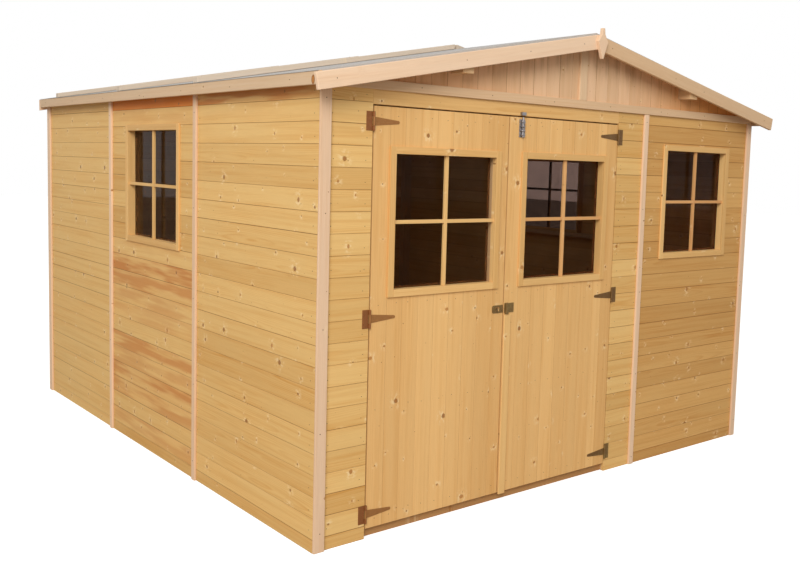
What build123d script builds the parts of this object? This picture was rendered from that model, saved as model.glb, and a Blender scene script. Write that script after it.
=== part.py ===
from build123d import *
import math
import os

os.makedirs("parts", exist_ok=True)

# A wooden garden shed with a low gable roof, in millimetres.
# The origin is on the ground, at the middle of the walls. The doors face -Y, and +Z is up.

# Walls
WALL_WIDTH = 2954
WALL_DEPTH = 3317
BOARD = 16
FRAME_DEPTH = 45
FRAME_WIDTH = 28
FRONT_TOP = 1869
SIDE_TOP = 1904
SIDE_JOINTS = (-565, 535)
STRIP_THICK = 12
STRIP_WIDTH = 34
STRIP_TOP = 1898

# Roof
ROOF_SLOPE = 0.203
DECK_TOP = 2222
DECK = 16
FELT = 3
LATH_THICK = 25
LATH_WIDTH = 45
LATH_PLACES = (-670, 290, 1310)
FRONT_OVERHANG = 97
BARGE_THICK = 18
BARGE_HEIGHT = 69
BARGE_TIP = 1553
BARGE_TIP_TOP = 1903
BARGE_APEX_TOP = 2214
FASCIA_FACE = 1530
FASCIA_THICK = 16
FASCIA_BOTTOM = 1861
BEAM_WIDTH = 45
PURLIN_AT = 795
PURLIN_WIDTH = 60
PURLIN_HEIGHT = 73

# Front doorway and doors
DOORWAY_LEFT = -1226
DOORWAY_RIGHT = 287
DOOR_BOTTOM = 43
DOOR_TOP = 1803
HEAD_BOTTOM = 1809
LEAF_GAP = 5.5
MEETING = -472
MEETING_GAP = 6
LEDGE_THICK = 28
LEDGE_WIDTH = 70
LEDGE_INSET = 6
FRONT_JOINT = 498
SILL_TOP = 36
SILL_SETBACK = 24

# Floor
BEARER_HEIGHT = 28
BEARER_WIDTH = 45
BEARER_COUNT = 7
FLOOR_BOARD = 16

# Windows: clear opening inside the casing, given as left, right, bottom and top
CASING_WIDTH = 31
CASING_PROUD = 9
LINING = 10
GLASS = 4
GLASS_SETBACK = 34
LEFT_LIGHT = (-1108, -550, 1048, 1613)
RIGHT_LIGHT = (-357, 181, 1049, 1614)
FRONT_LIGHT = (691, 1230, 1135, 1688)
SIDE_LIGHT = (-353, 280, 1139, 1704)

# Hinges: height of each pin's middle, and the sizes of one hinge
HINGE_HEIGHTS = (106, 934, 1741)
HINGE_PLATE_WIDTH = 30
HINGE_PLATE_HEIGHT = 78
HINGE_STRAP_LENGTH = 130
HINGE_STRAP_ROOT = 36
HINGE_STRAP_TIP = 12
HINGE_METAL = 2
KNUCKLE_RADIUS = 4.5
PIN_RADIUS = 2.5
PIN_CLEARANCE = 0.1
KNUCKLE_GAP = 0.6

# Derived planes and levels
SIDE = WALL_WIDTH / 2
FRONT = -WALL_DEPTH / 2
BACK = WALL_DEPTH / 2
SIDE_IN = SIDE - BOARD
FRONT_IN = FRONT + BOARD
BACK_IN = BACK - BOARD
FRAME_SIDE_IN = SIDE_IN - FRAME_DEPTH
FRAME_FRONT_IN = FRONT_IN + FRAME_DEPTH
FRAME_BACK_IN = BACK_IN - FRAME_DEPTH
BARGE_BACK = FRONT - FRONT_OVERHANG + BARGE_THICK
BARGE_SLOPE = (BARGE_APEX_TOP - BARGE_TIP_TOP) / BARGE_TIP
DECK_RISE = DECK * math.sqrt(1 + ROOF_SLOPE**2)
FLOOR_TOP = BEARER_HEIGHT + FLOOR_BOARD
RAIL_TOP_LEVEL = FRONT_TOP - FRAME_WIDTH
LEFT_LEAF = (DOORWAY_LEFT + LEAF_GAP, MEETING - MEETING_GAP / 2)
RIGHT_LEAF = (MEETING + MEETING_GAP / 2, DOORWAY_RIGHT - LEAF_GAP)
PIN_Y = FRONT - KNUCKLE_RADIUS - 1
LEFT_PIN_X = DOORWAY_LEFT + LEAF_GAP / 2
RIGHT_PIN_X = DOORWAY_RIGHT - LEAF_GAP / 2


def deck_top(x):
    """Height of the roof deck's upper face at a distance x from the ridge."""
    return DECK_TOP - ROOF_SLOPE * abs(x)


def deck_under(x):
    """Height of the roof deck's underside at a distance x from the ridge."""
    return deck_top(x) - DECK_RISE


def block(x, y, z, mode=Mode.ADD):
    """A box between two values on each axis, added to the part being built."""
    middle = ((x[0] + x[1]) / 2, (y[0] + y[1]) / 2, (z[0] + z[1]) / 2)
    with Locations(middle):
        Box(abs(x[1] - x[0]), abs(y[1] - y[0]), abs(z[1] - z[0]), mode=mode)


def upright_plate(points, y_front, y_back):
    """An outline in X and Z, made into a plate between two Y planes."""
    with BuildSketch(Plane.XZ.offset(-y_front)) as outline:
        with BuildLine():
            Polyline(*points, close=True)
        make_face()
    extrude(outline.sketch, amount=-(y_back - y_front))


def save(part, label):
    """Names a finished piece and writes it."""
    part.label = label
    export_step(part, f"parts/{label}.step")


# Side walls: three boarded panels a side, the middle one with a window
SIDE_PANELS = {
    "front": (FRONT, SIDE_JOINTS[0]),
    "window": SIDE_JOINTS,
    "back": (SIDE_JOINTS[1], BACK_IN),
}

for side, sign in (("left", -1), ("right", 1)):
    for place, span in SIDE_PANELS.items():
        with BuildPart() as panel:
            block((sign * SIDE_IN, sign * SIDE), span, (0, SIDE_TOP))
            if place == "window":
                block(
                    (sign * SIDE_IN, sign * SIDE),
                    (SIDE_LIGHT[0] - LINING, SIDE_LIGHT[1] + LINING),
                    (SIDE_LIGHT[2] - LINING, SIDE_LIGHT[3] + LINING),
                    Mode.SUBTRACT,
                )
        save(panel.part, f"{side}_wall_{place}")

# Back wall: plain boarding across the full width
with BuildPart() as back_wall:
    block((-SIDE, SIDE), (BACK_IN, BACK), (0, FRONT_TOP))
save(back_wall.part, "back_wall")

# Front wall: a narrow return each side of the doorway, a board over it, and a window panel
with BuildPart() as front_return_left:
    block((-SIDE_IN, DOORWAY_LEFT), (FRONT, FRONT_IN), (0, FRONT_TOP))
save(front_return_left.part, "front_return_left")

with BuildPart() as front_return_right:
    block((DOORWAY_RIGHT, FRONT_JOINT), (FRONT, FRONT_IN), (0, FRONT_TOP))
save(front_return_right.part, "front_return_right")

with BuildPart() as door_head:
    block((DOORWAY_LEFT, DOORWAY_RIGHT), (FRONT, FRONT_IN), (HEAD_BOTTOM, FRONT_TOP))
save(door_head.part, "door_head")

with BuildPart() as front_wall_window:
    block((FRONT_JOINT, SIDE_IN), (FRONT, FRONT_IN), (0, FRONT_TOP))
    block(
        (FRONT_LIGHT[0] - LINING, FRONT_LIGHT[1] + LINING),
        (FRONT, FRONT_IN),
        (FRONT_LIGHT[2] - LINING, FRONT_LIGHT[3] + LINING),
        Mode.SUBTRACT,
    )
save(front_wall_window.part, "front_wall_window")

# Upright studs inside the walls, between the bottom and top rails
STUD_LOW = FRAME_WIDTH
SIDE_STUDS = (
    FRONT_IN + FRAME_WIDTH / 2,
    SIDE_JOINTS[0] - FRAME_WIDTH,
    SIDE_JOINTS[0] + FRAME_WIDTH,
    SIDE_JOINTS[1] - FRAME_WIDTH,
    SIDE_JOINTS[1] + FRAME_WIDTH,
    BACK_IN - FRAME_WIDTH / 2,
)
FRONT_STUDS = (
    -FRAME_SIDE_IN + FRAME_WIDTH,
    DOORWAY_LEFT - FRAME_WIDTH / 2,
    DOORWAY_RIGHT + FRAME_WIDTH / 2,
    FRONT_JOINT - FRAME_WIDTH,
    FRONT_JOINT + FRAME_WIDTH,
    FRAME_SIDE_IN - FRAME_WIDTH,
)
BACK_JOINTS = (-WALL_WIDTH / 6, WALL_WIDTH / 6)
BACK_STUDS = (
    -FRAME_SIDE_IN + FRAME_WIDTH,
    BACK_JOINTS[0] - FRAME_WIDTH,
    BACK_JOINTS[0] + FRAME_WIDTH,
    BACK_JOINTS[1] - FRAME_WIDTH,
    BACK_JOINTS[1] + FRAME_WIDTH,
    FRAME_SIDE_IN - FRAME_WIDTH,
)


def around(middle, width):
    """The two limits of a piece of the given width about its middle."""
    return (middle - width / 2, middle + width / 2)


with BuildPart() as wall_studs:
    height = (STUD_LOW, RAIL_TOP_LEVEL)
    for sign in (-1, 1):
        depth = (sign * SIDE_IN, sign * FRAME_SIDE_IN)
        for y in SIDE_STUDS:
            block(depth, around(y, FRAME_WIDTH), height)
    for x in FRONT_STUDS:
        block(around(x, FRAME_WIDTH), (FRONT_IN, FRAME_FRONT_IN), height)
    for x in BACK_STUDS:
        block(around(x, FRAME_WIDTH), (FRAME_BACK_IN, BACK_IN), height)
save(wall_studs.part, "wall_studs")

# Rails at the foot and head of the walls, and above and below the windows
CORNER_GAP = 1
END_RAIL = FRAME_SIDE_IN - CORNER_GAP
MIDDLE_BAY = (SIDE_STUDS[2] + FRAME_WIDTH / 2, SIDE_STUDS[3] - FRAME_WIDTH / 2)
FRONT_BAY = (FRONT_STUDS[4] + FRAME_WIDTH / 2, FRONT_STUDS[5] - FRAME_WIDTH / 2)

with BuildPart() as wall_rails:
    for low, high in ((0, STUD_LOW), (RAIL_TOP_LEVEL, FRONT_TOP)):
        for sign in (-1, 1):
            block((sign * SIDE_IN, sign * FRAME_SIDE_IN), (FRONT_IN, BACK_IN), (low, high))
        block((-END_RAIL, END_RAIL), (FRAME_BACK_IN, BACK_IN), (low, high))
    block((-END_RAIL, DOORWAY_LEFT), (FRONT_IN, FRAME_FRONT_IN), (0, STUD_LOW))
    block((DOORWAY_RIGHT, END_RAIL), (FRONT_IN, FRAME_FRONT_IN), (0, STUD_LOW))
    block((-END_RAIL, END_RAIL), (FRONT_IN, FRAME_FRONT_IN), (RAIL_TOP_LEVEL, FRONT_TOP))
    for sign in (-1, 1):
        depth = (sign * SIDE_IN, sign * FRAME_SIDE_IN)
        block(depth, MIDDLE_BAY, (SIDE_LIGHT[2] - LINING - FRAME_WIDTH, SIDE_LIGHT[2] - LINING))
        block(depth, MIDDLE_BAY, (SIDE_LIGHT[3] + LINING, SIDE_LIGHT[3] + LINING + FRAME_WIDTH))
    depth = (FRONT_IN, FRAME_FRONT_IN)
    block(FRONT_BAY, depth, (FRONT_LIGHT[2] - LINING - FRAME_WIDTH, FRONT_LIGHT[2] - LINING))
    block(FRONT_BAY, depth, (FRONT_LIGHT[3] + LINING, FRONT_LIGHT[3] + LINING + FRAME_WIDTH))
save(wall_rails.part, "wall_rails")

# The sill board under the doors stands back behind the boarding
with BuildPart() as door_sill:
    block((DOORWAY_LEFT, DOORWAY_RIGHT), (FRONT + SILL_SETBACK, FRAME_FRONT_IN), (0, SILL_TOP))
save(door_sill.part, "door_sill")

# Floor: boards on bearers that lie on the ground
FLOOR_SIDE = FRAME_SIDE_IN - 2
FLOOR_FRONT = FRAME_FRONT_IN + 2
FLOOR_BACK = FRAME_BACK_IN - 2
BEARER_STEP = (FLOOR_BACK - FLOOR_FRONT - BEARER_WIDTH) / (BEARER_COUNT - 1)
BEARER_FIRST = FLOOR_FRONT + BEARER_WIDTH / 2

with BuildPart() as floor_bearers:
    for index in range(BEARER_COUNT):
        middle = BEARER_FIRST + index * BEARER_STEP
        block((-FLOOR_SIDE, FLOOR_SIDE), around(middle, BEARER_WIDTH), (0, BEARER_HEIGHT))
save(floor_bearers.part, "floor_bearers")

with BuildPart() as floor:
    block((-FLOOR_SIDE, FLOOR_SIDE), (FLOOR_FRONT, FLOOR_BACK), (BEARER_HEIGHT, FLOOR_TOP))
save(floor.part, "floor")

# Gables: upright boards from the wall head to the underside of the deck
GABLE_RAIL = (1868, 1908)
GABLE_RAIL_END = 1458
BATTEN_WIDTH = 50


def gable_outline(half_width, foot):
    """Corner points of a gable that reaches up to the deck."""
    return (
        (-half_width, foot),
        (half_width, foot),
        (half_width, deck_under(half_width)),
        (0, deck_under(0)),
        (-half_width, deck_under(half_width)),
    )


with BuildPart() as front_gable:
    upright_plate(gable_outline(SIDE_IN, FRONT_TOP), FRONT, FRONT_IN)
save(front_gable.part, "front_gable")

with BuildPart() as back_gable:
    upright_plate(gable_outline(SIDE, FRONT_TOP), BACK_IN, BACK)
save(back_gable.part, "back_gable")

# A rail across the foot of the front gable, and a batten up its middle
with BuildPart() as front_gable_trim:
    depth = (FRONT - STRIP_THICK, FRONT)
    block((-GABLE_RAIL_END, GABLE_RAIL_END), depth, GABLE_RAIL)
    block(around(0, BATTEN_WIDTH), depth, (GABLE_RAIL[1], deck_under(BATTEN_WIDTH / 2)))
save(front_gable_trim.part, "front_gable_trim")

# Cover strips over the panel joints and the corners
CORNER_STRIP = 50
RIGHT_CORNER = (1429, 1469)

with BuildPart() as cover_strips:
    for sign in (-1, 1):
        depth = (sign * SIDE, sign * (SIDE + STRIP_THICK))
        for joint in SIDE_JOINTS:
            block(depth, around(joint, STRIP_WIDTH), (0, STRIP_TOP))
        block(depth, (BACK - CORNER_STRIP, BACK), (0, STRIP_TOP))
    depth = (FRONT - STRIP_THICK, FRONT)
    block((-SIDE, -SIDE + CORNER_STRIP), depth, (0, GABLE_RAIL[0] - 1))
    block(around(FRONT_JOINT, STRIP_WIDTH), depth, (0, GABLE_RAIL[0] - 1))
    block(RIGHT_CORNER, depth, (0, GABLE_RAIL[0] - 1))
    for joint in BACK_JOINTS:
        block(around(joint, STRIP_WIDTH), (BACK, BACK + STRIP_THICK), (0, FRONT_TOP))
save(cover_strips.part, "cover_strips")

# Ridge beam and purlins, which run out past the front gable to carry the bargeboards
BEAM_FRONT = BARGE_BACK
RIDGE_HEIGHT = 95

with BuildPart() as roof_beams:
    ridge_top = deck_under(BEAM_WIDTH / 2)
    block(around(0, BEAM_WIDTH), (FRONT_IN, BACK_IN), (ridge_top - RIDGE_HEIGHT, ridge_top))
    for sign in (-1, 1):
        purlin_top = deck_under(PURLIN_AT + PURLIN_WIDTH / 2)
        spans = (around(sign * PURLIN_AT, PURLIN_WIDTH), (purlin_top - PURLIN_HEIGHT, purlin_top))
        block(spans[0], (FRONT_IN, BACK_IN), spans[1])
        block(spans[0], (BEAM_FRONT, FRONT), spans[1])
save(roof_beams.part, "roof_beams")

# Roof deck: one slope each side, with a narrow gap at the ridge
DECK_FRONT = BARGE_BACK + FELT
DECK_BACK = BACK + 6
DECK_EAVE = FASCIA_FACE - FASCIA_THICK
RIDGE_GAP = 1


def slope_plate(sign, inner, outer, under, over, y_front, y_back):
    """A plate on one roof slope, between two lines that run down the slope."""
    points = (
        (sign * inner, under(inner)),
        (sign * outer, under(outer)),
        (sign * outer, over(outer)),
        (sign * inner, over(inner)),
    )
    upright_plate(points, y_front, y_back)


for side, sign in (("left", -1), ("right", 1)):
    with BuildPart() as roof_deck:
        slope_plate(sign, RIDGE_GAP, DECK_EAVE, deck_under, deck_top, DECK_FRONT, DECK_BACK)
    save(roof_deck.part, f"roof_deck_{side}")

# One sheet of felt over both slopes and the fascias, turned down over the front edge of the deck
FELT_RISE = FELT * math.sqrt(1 + ROOF_SLOPE**2)
FELT_EAVE = FASCIA_FACE + 2


def felt_top(x):
    """Height of the felt's upper face at a distance x from the ridge."""
    return deck_top(x) + FELT_RISE


with BuildPart() as roof_felt:
    for sign in (-1, 1):
        slope_plate(sign, 0, FELT_EAVE, deck_top, felt_top, BARGE_BACK, DECK_BACK)
        slope_plate(sign, 0, DECK_EAVE, deck_under, deck_top, BARGE_BACK, DECK_FRONT)
save(roof_felt.part, "roof_felt")

# Laths nailed over the felt from ridge to eave, a separate lath on each slope
LATH_RIDGE = 8


def lath_top(x):
    """Height of a felt lath's upper face at a distance x from the ridge."""
    return felt_top(x) + LATH_THICK * math.sqrt(1 + ROOF_SLOPE**2)


with BuildPart() as felt_laths:
    for place in LATH_PLACES:
        for sign in (-1, 1):
            y = around(place, LATH_WIDTH)
            slope_plate(sign, LATH_RIDGE, FELT_EAVE, felt_top, lath_top, y[0], y[1])
save(felt_laths.part, "felt_laths")

# Fascia boards along the eaves, over the edge of the deck
FASCIA_FRONT = BARGE_BACK


def fascia_foot(x):
    """Height of a fascia's lower edge, which is level."""
    return FASCIA_BOTTOM


with BuildPart() as eave_fascias:
    for sign in (-1, 1):
        slope_plate(sign, DECK_EAVE, FASCIA_FACE, fascia_foot, deck_top, FASCIA_FRONT, BACK)
save(eave_fascias.part, "eave_fascias")


# Bargeboards: a sloping board each side, cut upright at the apex and square at the eaves
def barge_top(x):
    """Height of a bargeboard's upper edge at a distance x from the middle."""
    return BARGE_APEX_TOP - BARGE_SLOPE * abs(x)


def barge_under(x):
    """Height of a bargeboard's lower edge at a distance x from the middle."""
    return barge_top(x) - BARGE_HEIGHT


def rear_barge_under(x):
    """Height of a back bargeboard's lower edge."""
    return deck_top(x) - BARGE_HEIGHT


MITRE_GAP = 0.5
BARGE_FOOT = BARGE_TIP - BARGE_HEIGHT * BARGE_SLOPE / (1 + BARGE_SLOPE**2)
BARGE_FRONT = BARGE_BACK - BARGE_THICK
REAR_BARGE_BACK = DECK_BACK + BARGE_THICK

with BuildPart() as front_bargeboards:
    for sign in (-1, 1):
        corners = (
            (sign * MITRE_GAP, barge_under(MITRE_GAP)),
            (sign * BARGE_FOOT, barge_under(BARGE_FOOT)),
            (sign * BARGE_TIP, barge_top(BARGE_TIP)),
            (sign * MITRE_GAP, barge_top(MITRE_GAP)),
        )
        upright_plate(corners, BARGE_FRONT, BARGE_BACK)
save(front_bargeboards.part, "front_bargeboards")

with BuildPart() as back_bargeboards:
    for sign in (-1, 1):
        outer = FASCIA_FACE
        slope_plate(sign, MITRE_GAP, outer, rear_barge_under, deck_top, DECK_BACK, REAR_BARGE_BACK)
save(back_bargeboards.part, "back_bargeboards")

# The finial covers the joint of the front bargeboards: a small spear-shaped board, a little off centre
FINIAL_AT = 14
FINIAL_TOP = 2245
FINIAL_NECK = 2216
FINIAL_WIDE_AT = 2182
FINIAL_FOOT = 2101
FINIAL_HALF_TOP = 7
FINIAL_HALF_NECK = 11
FINIAL_HALF_WIDE = 33
FINIAL_HALF_FOOT = 4

with BuildPart() as finial:
    upright_plate(
        (
            (FINIAL_AT - FINIAL_HALF_FOOT, FINIAL_FOOT),
            (FINIAL_AT + FINIAL_HALF_FOOT, FINIAL_FOOT),
            (FINIAL_AT + FINIAL_HALF_WIDE, FINIAL_WIDE_AT),
            (FINIAL_AT + FINIAL_HALF_NECK, FINIAL_NECK),
            (FINIAL_AT + FINIAL_HALF_TOP, FINIAL_TOP),
            (FINIAL_AT - FINIAL_HALF_TOP, FINIAL_TOP),
            (FINIAL_AT - FINIAL_HALF_NECK, FINIAL_NECK),
            (FINIAL_AT - FINIAL_HALF_WIDE, FINIAL_WIDE_AT),
        ),
        BARGE_FRONT - BARGE_THICK,
        BARGE_FRONT,
    )
save(finial.part, "finial")


# Windows
def window_ring(light, depth, axis):
    """A window's casing and lining around its clear opening.

    depth lists the planes of the casing's face, the wall's face and the lining's inner edge.
    """
    face, wall, inside = depth
    u0, u1, v0, v1 = light

    def ring_block(grow, planes, mode):
        across = (u0 - grow, u1 + grow)
        height = (v0 - grow, v1 + grow)
        if axis == "Y":
            block(across, planes, height, mode)
        else:
            block(planes, across, height, mode)

    ring_block(CASING_WIDTH, (face, wall), Mode.ADD)
    ring_block(LINING, (wall, inside), Mode.ADD)
    ring_block(0, (face, inside), Mode.SUBTRACT)


WALL_WINDOWS = {
    "left_window": (SIDE_LIGHT, (-SIDE - CASING_PROUD, -SIDE, -FRAME_SIDE_IN), "X"),
    "right_window": (SIDE_LIGHT, (SIDE + CASING_PROUD, SIDE, FRAME_SIDE_IN), "X"),
    "front_window": (FRONT_LIGHT, (FRONT - CASING_PROUD, FRONT, FRAME_FRONT_IN), "Y"),
}

for name, (light, depth, axis) in WALL_WINDOWS.items():
    with BuildPart() as window_frame:
        window_ring(light, depth, axis)
    save(window_frame.part, f"{name}_frame")

# Glass, one sheet to each window, set back behind the casing
with BuildPart() as wall_window_glass:
    for sign in (-1, 1):
        x = (sign * (SIDE - GLASS_SETBACK), sign * (SIDE - GLASS_SETBACK - GLASS))
        block(x, SIDE_LIGHT[:2], SIDE_LIGHT[2:])
    y = (FRONT + GLASS_SETBACK, FRONT + GLASS_SETBACK + GLASS)
    block(FRONT_LIGHT[:2], y, FRONT_LIGHT[2:])
save(wall_window_glass.part, "wall_window_glass")

# Doors: boards on a ledge frame, with a window in the upper half
LEAF_BACK = FRONT + BOARD + LEDGE_THICK


def door_leaf(span, light):
    """The boarded face of one door, with its window cut out."""
    block(span, (FRONT, FRONT_IN), (DOOR_BOTTOM, DOOR_TOP))
    cut = ((light[0] - LINING, light[1] + LINING), (light[2] - LINING, light[3] + LINING))
    block(cut[0], (FRONT, FRONT_IN), cut[1], Mode.SUBTRACT)


def door_ledges(span, light):
    """The frame behind a door's boards: two stiles joined by four ledges."""
    x0 = span[0] + LEDGE_INSET
    x1 = span[1] - LEDGE_INSET
    z0 = DOOR_BOTTOM + LEDGE_INSET
    z1 = DOOR_TOP - LEDGE_INSET
    depth = (FRONT_IN, LEAF_BACK)
    block((x0, x1), depth, (z0, z1))
    inner = (x0 + LEDGE_WIDTH, x1 - LEDGE_WIDTH)
    middle = (z0 + light[2]) / 2
    block(inner, depth, (z0 + LEDGE_WIDTH, middle - LEDGE_WIDTH / 2), Mode.SUBTRACT)
    block(inner, depth, (middle + LEDGE_WIDTH / 2, light[2] - LINING - LEDGE_WIDTH), Mode.SUBTRACT)
    across = (light[0] - LINING, light[1] + LINING)
    block(across, depth, (light[2] - LINING, light[3] + LINING), Mode.SUBTRACT)
    block(inner, depth, (light[3] + LINING + LEDGE_WIDTH / 2, z1 - LEDGE_WIDTH), Mode.SUBTRACT)


DOORS = {"left_door": (LEFT_LEAF, LEFT_LIGHT), "right_door": (RIGHT_LEAF, RIGHT_LIGHT)}

for name, (span, light) in DOORS.items():
    with BuildPart() as leaf:
        door_leaf(span, light)
    save(leaf.part, f"{name}_leaf")

    with BuildPart() as ledges:
        door_ledges(span, light)
    save(ledges.part, f"{name}_ledges")

    with BuildPart() as door_window_frame:
        window_ring(light, (FRONT - CASING_PROUD, FRONT, LEAF_BACK), "Y")
    save(door_window_frame.part, f"{name}_window_frame")

    with BuildPart() as door_glass:
        block(light[:2], (FRONT + GLASS_SETBACK, FRONT + GLASS_SETBACK + GLASS), light[2:])
    save(door_glass.part, f"{name}_glass")

# Tee hinges: a plate with the pin on the wall, and a tapered strap on the door
HALF_PLATE = HINGE_PLATE_HEIGHT / 2
HALF_ROOT = HINGE_STRAP_ROOT / 2
METAL_FACE = FRONT - HINGE_METAL


def upright_cylinder(x, radius, z, mode=Mode.ADD):
    """A cylinder on a hinge pin's line between two heights."""
    with Locations((x, PIN_Y, (z[0] + z[1]) / 2)):
        Cylinder(radius, z[1] - z[0], mode=mode)


def hinge_plate(x, sign, height):
    """The fixed half of a hinge: plate, two end knuckles and the pin."""
    z0 = height - HALF_PLATE
    z1 = height + HALF_PLATE
    edge = x + sign * (KNUCKLE_RADIUS + KNUCKLE_GAP)
    block((edge, edge + sign * HINGE_PLATE_WIDTH), (METAL_FACE, FRONT), (z0, z1))
    lower = (z0, height - HALF_ROOT - KNUCKLE_GAP)
    upper = (height + HALF_ROOT + KNUCKLE_GAP, z1)
    for low, high in (lower, upper):
        block((x + sign * PIN_RADIUS, edge + sign), (PIN_Y, FRONT), (low, high))
        upright_cylinder(x, KNUCKLE_RADIUS, (low, high))
    upright_cylinder(x, PIN_RADIUS, (z0, z1))


def hinge_strap(x, sign, height):
    """The moving half of a hinge: the middle knuckle and the tapered strap."""
    start = x - sign * (LEAF_GAP / 2 + 1)
    tip = x - sign * HINGE_STRAP_LENGTH
    upright_plate(
        (
            (start, height - HALF_ROOT),
            (start, height + HALF_ROOT),
            (tip, height + HINGE_STRAP_TIP / 2),
            (tip, height - HINGE_STRAP_TIP / 2),
        ),
        METAL_FACE,
        FRONT,
    )
    span = (height - HALF_ROOT, height + HALF_ROOT)
    block((x - sign * PIN_RADIUS, start - sign), (PIN_Y, FRONT), span)
    upright_cylinder(x, KNUCKLE_RADIUS, span)
    upright_cylinder(x, PIN_RADIUS + PIN_CLEARANCE, span, Mode.SUBTRACT)


for side, x, sign in (("left", LEFT_PIN_X, -1), ("right", RIGHT_PIN_X, 1)):
    with BuildPart() as plates:
        for height in HINGE_HEIGHTS:
            hinge_plate(x, sign, height)
    save(plates.part, f"{side}_hinge_plates")

    with BuildPart() as straps:
        for height in HINGE_HEIGHTS:
            hinge_strap(x, sign, height)
    save(straps.part, f"{side}_door_straps")

# The right door's cover strip stands beside the gap where the doors meet, below the hasp
MEETING_STRIP = (RIGHT_LEAF[0], RIGHT_LEAF[0] + 40)
MEETING_STRIP_THICK = 8
MEETING_STRIP_FOOT = 34
MEETING_STRIP_TOP = 892

with BuildPart() as meeting_strip:
    height = (MEETING_STRIP_FOOT, MEETING_STRIP_TOP)
    block(MEETING_STRIP, (FRONT - MEETING_STRIP_THICK, FRONT), height)
save(meeting_strip.part, "meeting_strip")

# A tower bolt holds the right door to the head of the doorway
BOLT_X = -394
BOLT_WIDTH = 36
BOLT_METAL = 3
BOLT_ROD_RADIUS = 5
BOLT_ROD_Y = FRONT - BOLT_METAL - BOLT_ROD_RADIUS + 1
BOLT_FACE = BOLT_ROD_Y - BOLT_ROD_RADIUS - BOLT_METAL
BOLT_SPAN = (1712, 1794)
BOLT_GUIDES = ((1718, 1730), (1774, 1788))
BOLT_GUIDE_WIDTH = 20
KEEPER_WIDTH = 26
KEEPER_SPAN = (HEAD_BOTTOM + 2, 1826)
KEEPER_BORE = BOLT_ROD_RADIUS + 1

with BuildPart() as door_bolt:
    block(around(BOLT_X, BOLT_WIDTH), (FRONT - BOLT_METAL, FRONT), BOLT_SPAN)
    with Locations((BOLT_X, BOLT_ROD_Y, (BOLT_SPAN[0] + DOOR_TOP) / 2)):
        Cylinder(BOLT_ROD_RADIUS, DOOR_TOP - BOLT_SPAN[0])
    for guide in BOLT_GUIDES:
        block(around(BOLT_X, BOLT_GUIDE_WIDTH), (BOLT_FACE, FRONT), guide)
save(door_bolt.part, "door_bolt")

with BuildPart() as bolt_keeper:
    block(around(BOLT_X, KEEPER_WIDTH), (BOLT_FACE, FRONT), KEEPER_SPAN)
    with Locations((BOLT_X, BOLT_ROD_Y, (KEEPER_SPAN[0] + KEEPER_SPAN[1]) / 2)):
        Cylinder(KEEPER_BORE, KEEPER_SPAN[1] - KEEPER_SPAN[0], mode=Mode.SUBTRACT)
save(bolt_keeper.part, "bolt_keeper")

# A hasp joins the two doors: a plate with a staple on the left, a raised catch on the right
HASP_METAL = 3
HASP_FACE = FRONT - HASP_METAL
HASP_PROUD = 13
HASP_PLATE = ((-543, -477), (902, 938))
HASP_STAPLE = ((-522, -514), (912, 928))
CATCH_PLATE = ((-467, -408), (900, 944))
CATCH = ((-464, -448), (894, 946))

with BuildPart() as left_latch_plate:
    block(HASP_PLATE[0], (HASP_FACE, FRONT), HASP_PLATE[1])
    block(HASP_STAPLE[0], (FRONT - HASP_PROUD, FRONT), HASP_STAPLE[1])
save(left_latch_plate.part, "left_latch_plate")

with BuildPart() as right_latch_plate:
    block(CATCH_PLATE[0], (HASP_FACE, FRONT), CATCH_PLATE[1])
    block(CATCH[0], (FRONT - HASP_PROUD, FRONT), CATCH[1])
save(right_latch_plate.part, "right_latch_plate")
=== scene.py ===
import math
import random

import bpy
import numpy as np
from mathutils import Matrix, Vector


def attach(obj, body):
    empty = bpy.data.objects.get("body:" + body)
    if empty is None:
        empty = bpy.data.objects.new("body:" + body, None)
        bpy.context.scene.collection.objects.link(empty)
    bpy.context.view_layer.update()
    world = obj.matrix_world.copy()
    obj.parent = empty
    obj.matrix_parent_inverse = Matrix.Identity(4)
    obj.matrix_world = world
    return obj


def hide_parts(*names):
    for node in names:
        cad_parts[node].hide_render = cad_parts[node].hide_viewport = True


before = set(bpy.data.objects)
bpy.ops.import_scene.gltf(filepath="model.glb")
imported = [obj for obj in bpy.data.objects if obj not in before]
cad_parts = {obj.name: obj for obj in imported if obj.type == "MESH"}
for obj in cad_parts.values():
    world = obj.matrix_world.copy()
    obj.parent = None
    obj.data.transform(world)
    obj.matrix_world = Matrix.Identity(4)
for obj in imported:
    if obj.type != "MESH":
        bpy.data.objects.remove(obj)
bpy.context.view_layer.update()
random.seed(41)

# Sizes of the shed in metres, the same as in the construction
SIDE = 1.477
FRONT = -1.6585
BACK = 1.6585
BOARD = 0.016
FRAME_DEPTH = 0.045
SIDE_IN = SIDE - BOARD
FRONT_IN = FRONT + BOARD
BACK_IN = BACK - BOARD
FRONT_TOP = 1.869
SIDE_TOP = 1.904
SIDE_JOINTS = (-0.565, 0.535)
BACK_JOINTS = (-0.4923, 0.4923)
FRONT_JOINT = 0.498
STRIP_THICK = 0.012
STRIP_WIDTH = 0.034
STRIP_TOP = 1.898
COVER = 0.088
SEAM_AT = 1.816
ROOF_SLOPE = 0.203
DECK_TOP = 2.222
DECK_RISE = 0.016 * math.sqrt(1 + ROOF_SLOPE**2)
DECK_EAVE = 1.514
FASCIA_FACE = 1.53
FASCIA_FOOT = 1.861
FELT_EAVE = 1.532
DECK_FRONT = -1.7345
DECK_BACK = 1.6645
BARGE_FRONT = -1.7555
BARGE_BACK = -1.7375
FELT = 0.003
LATH_THICK = 0.025
LATH_PLACES = (-0.67, 0.29, 1.31)
DOORWAY = (-1.226, 0.287)
DOOR_HEIGHTS = (0.043, 1.803)
HEAD_FOOT = 1.809
LEFT_LEAF = (-1.2205, -0.475)
RIGHT_LEAF = (-0.469, 0.2815)
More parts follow.
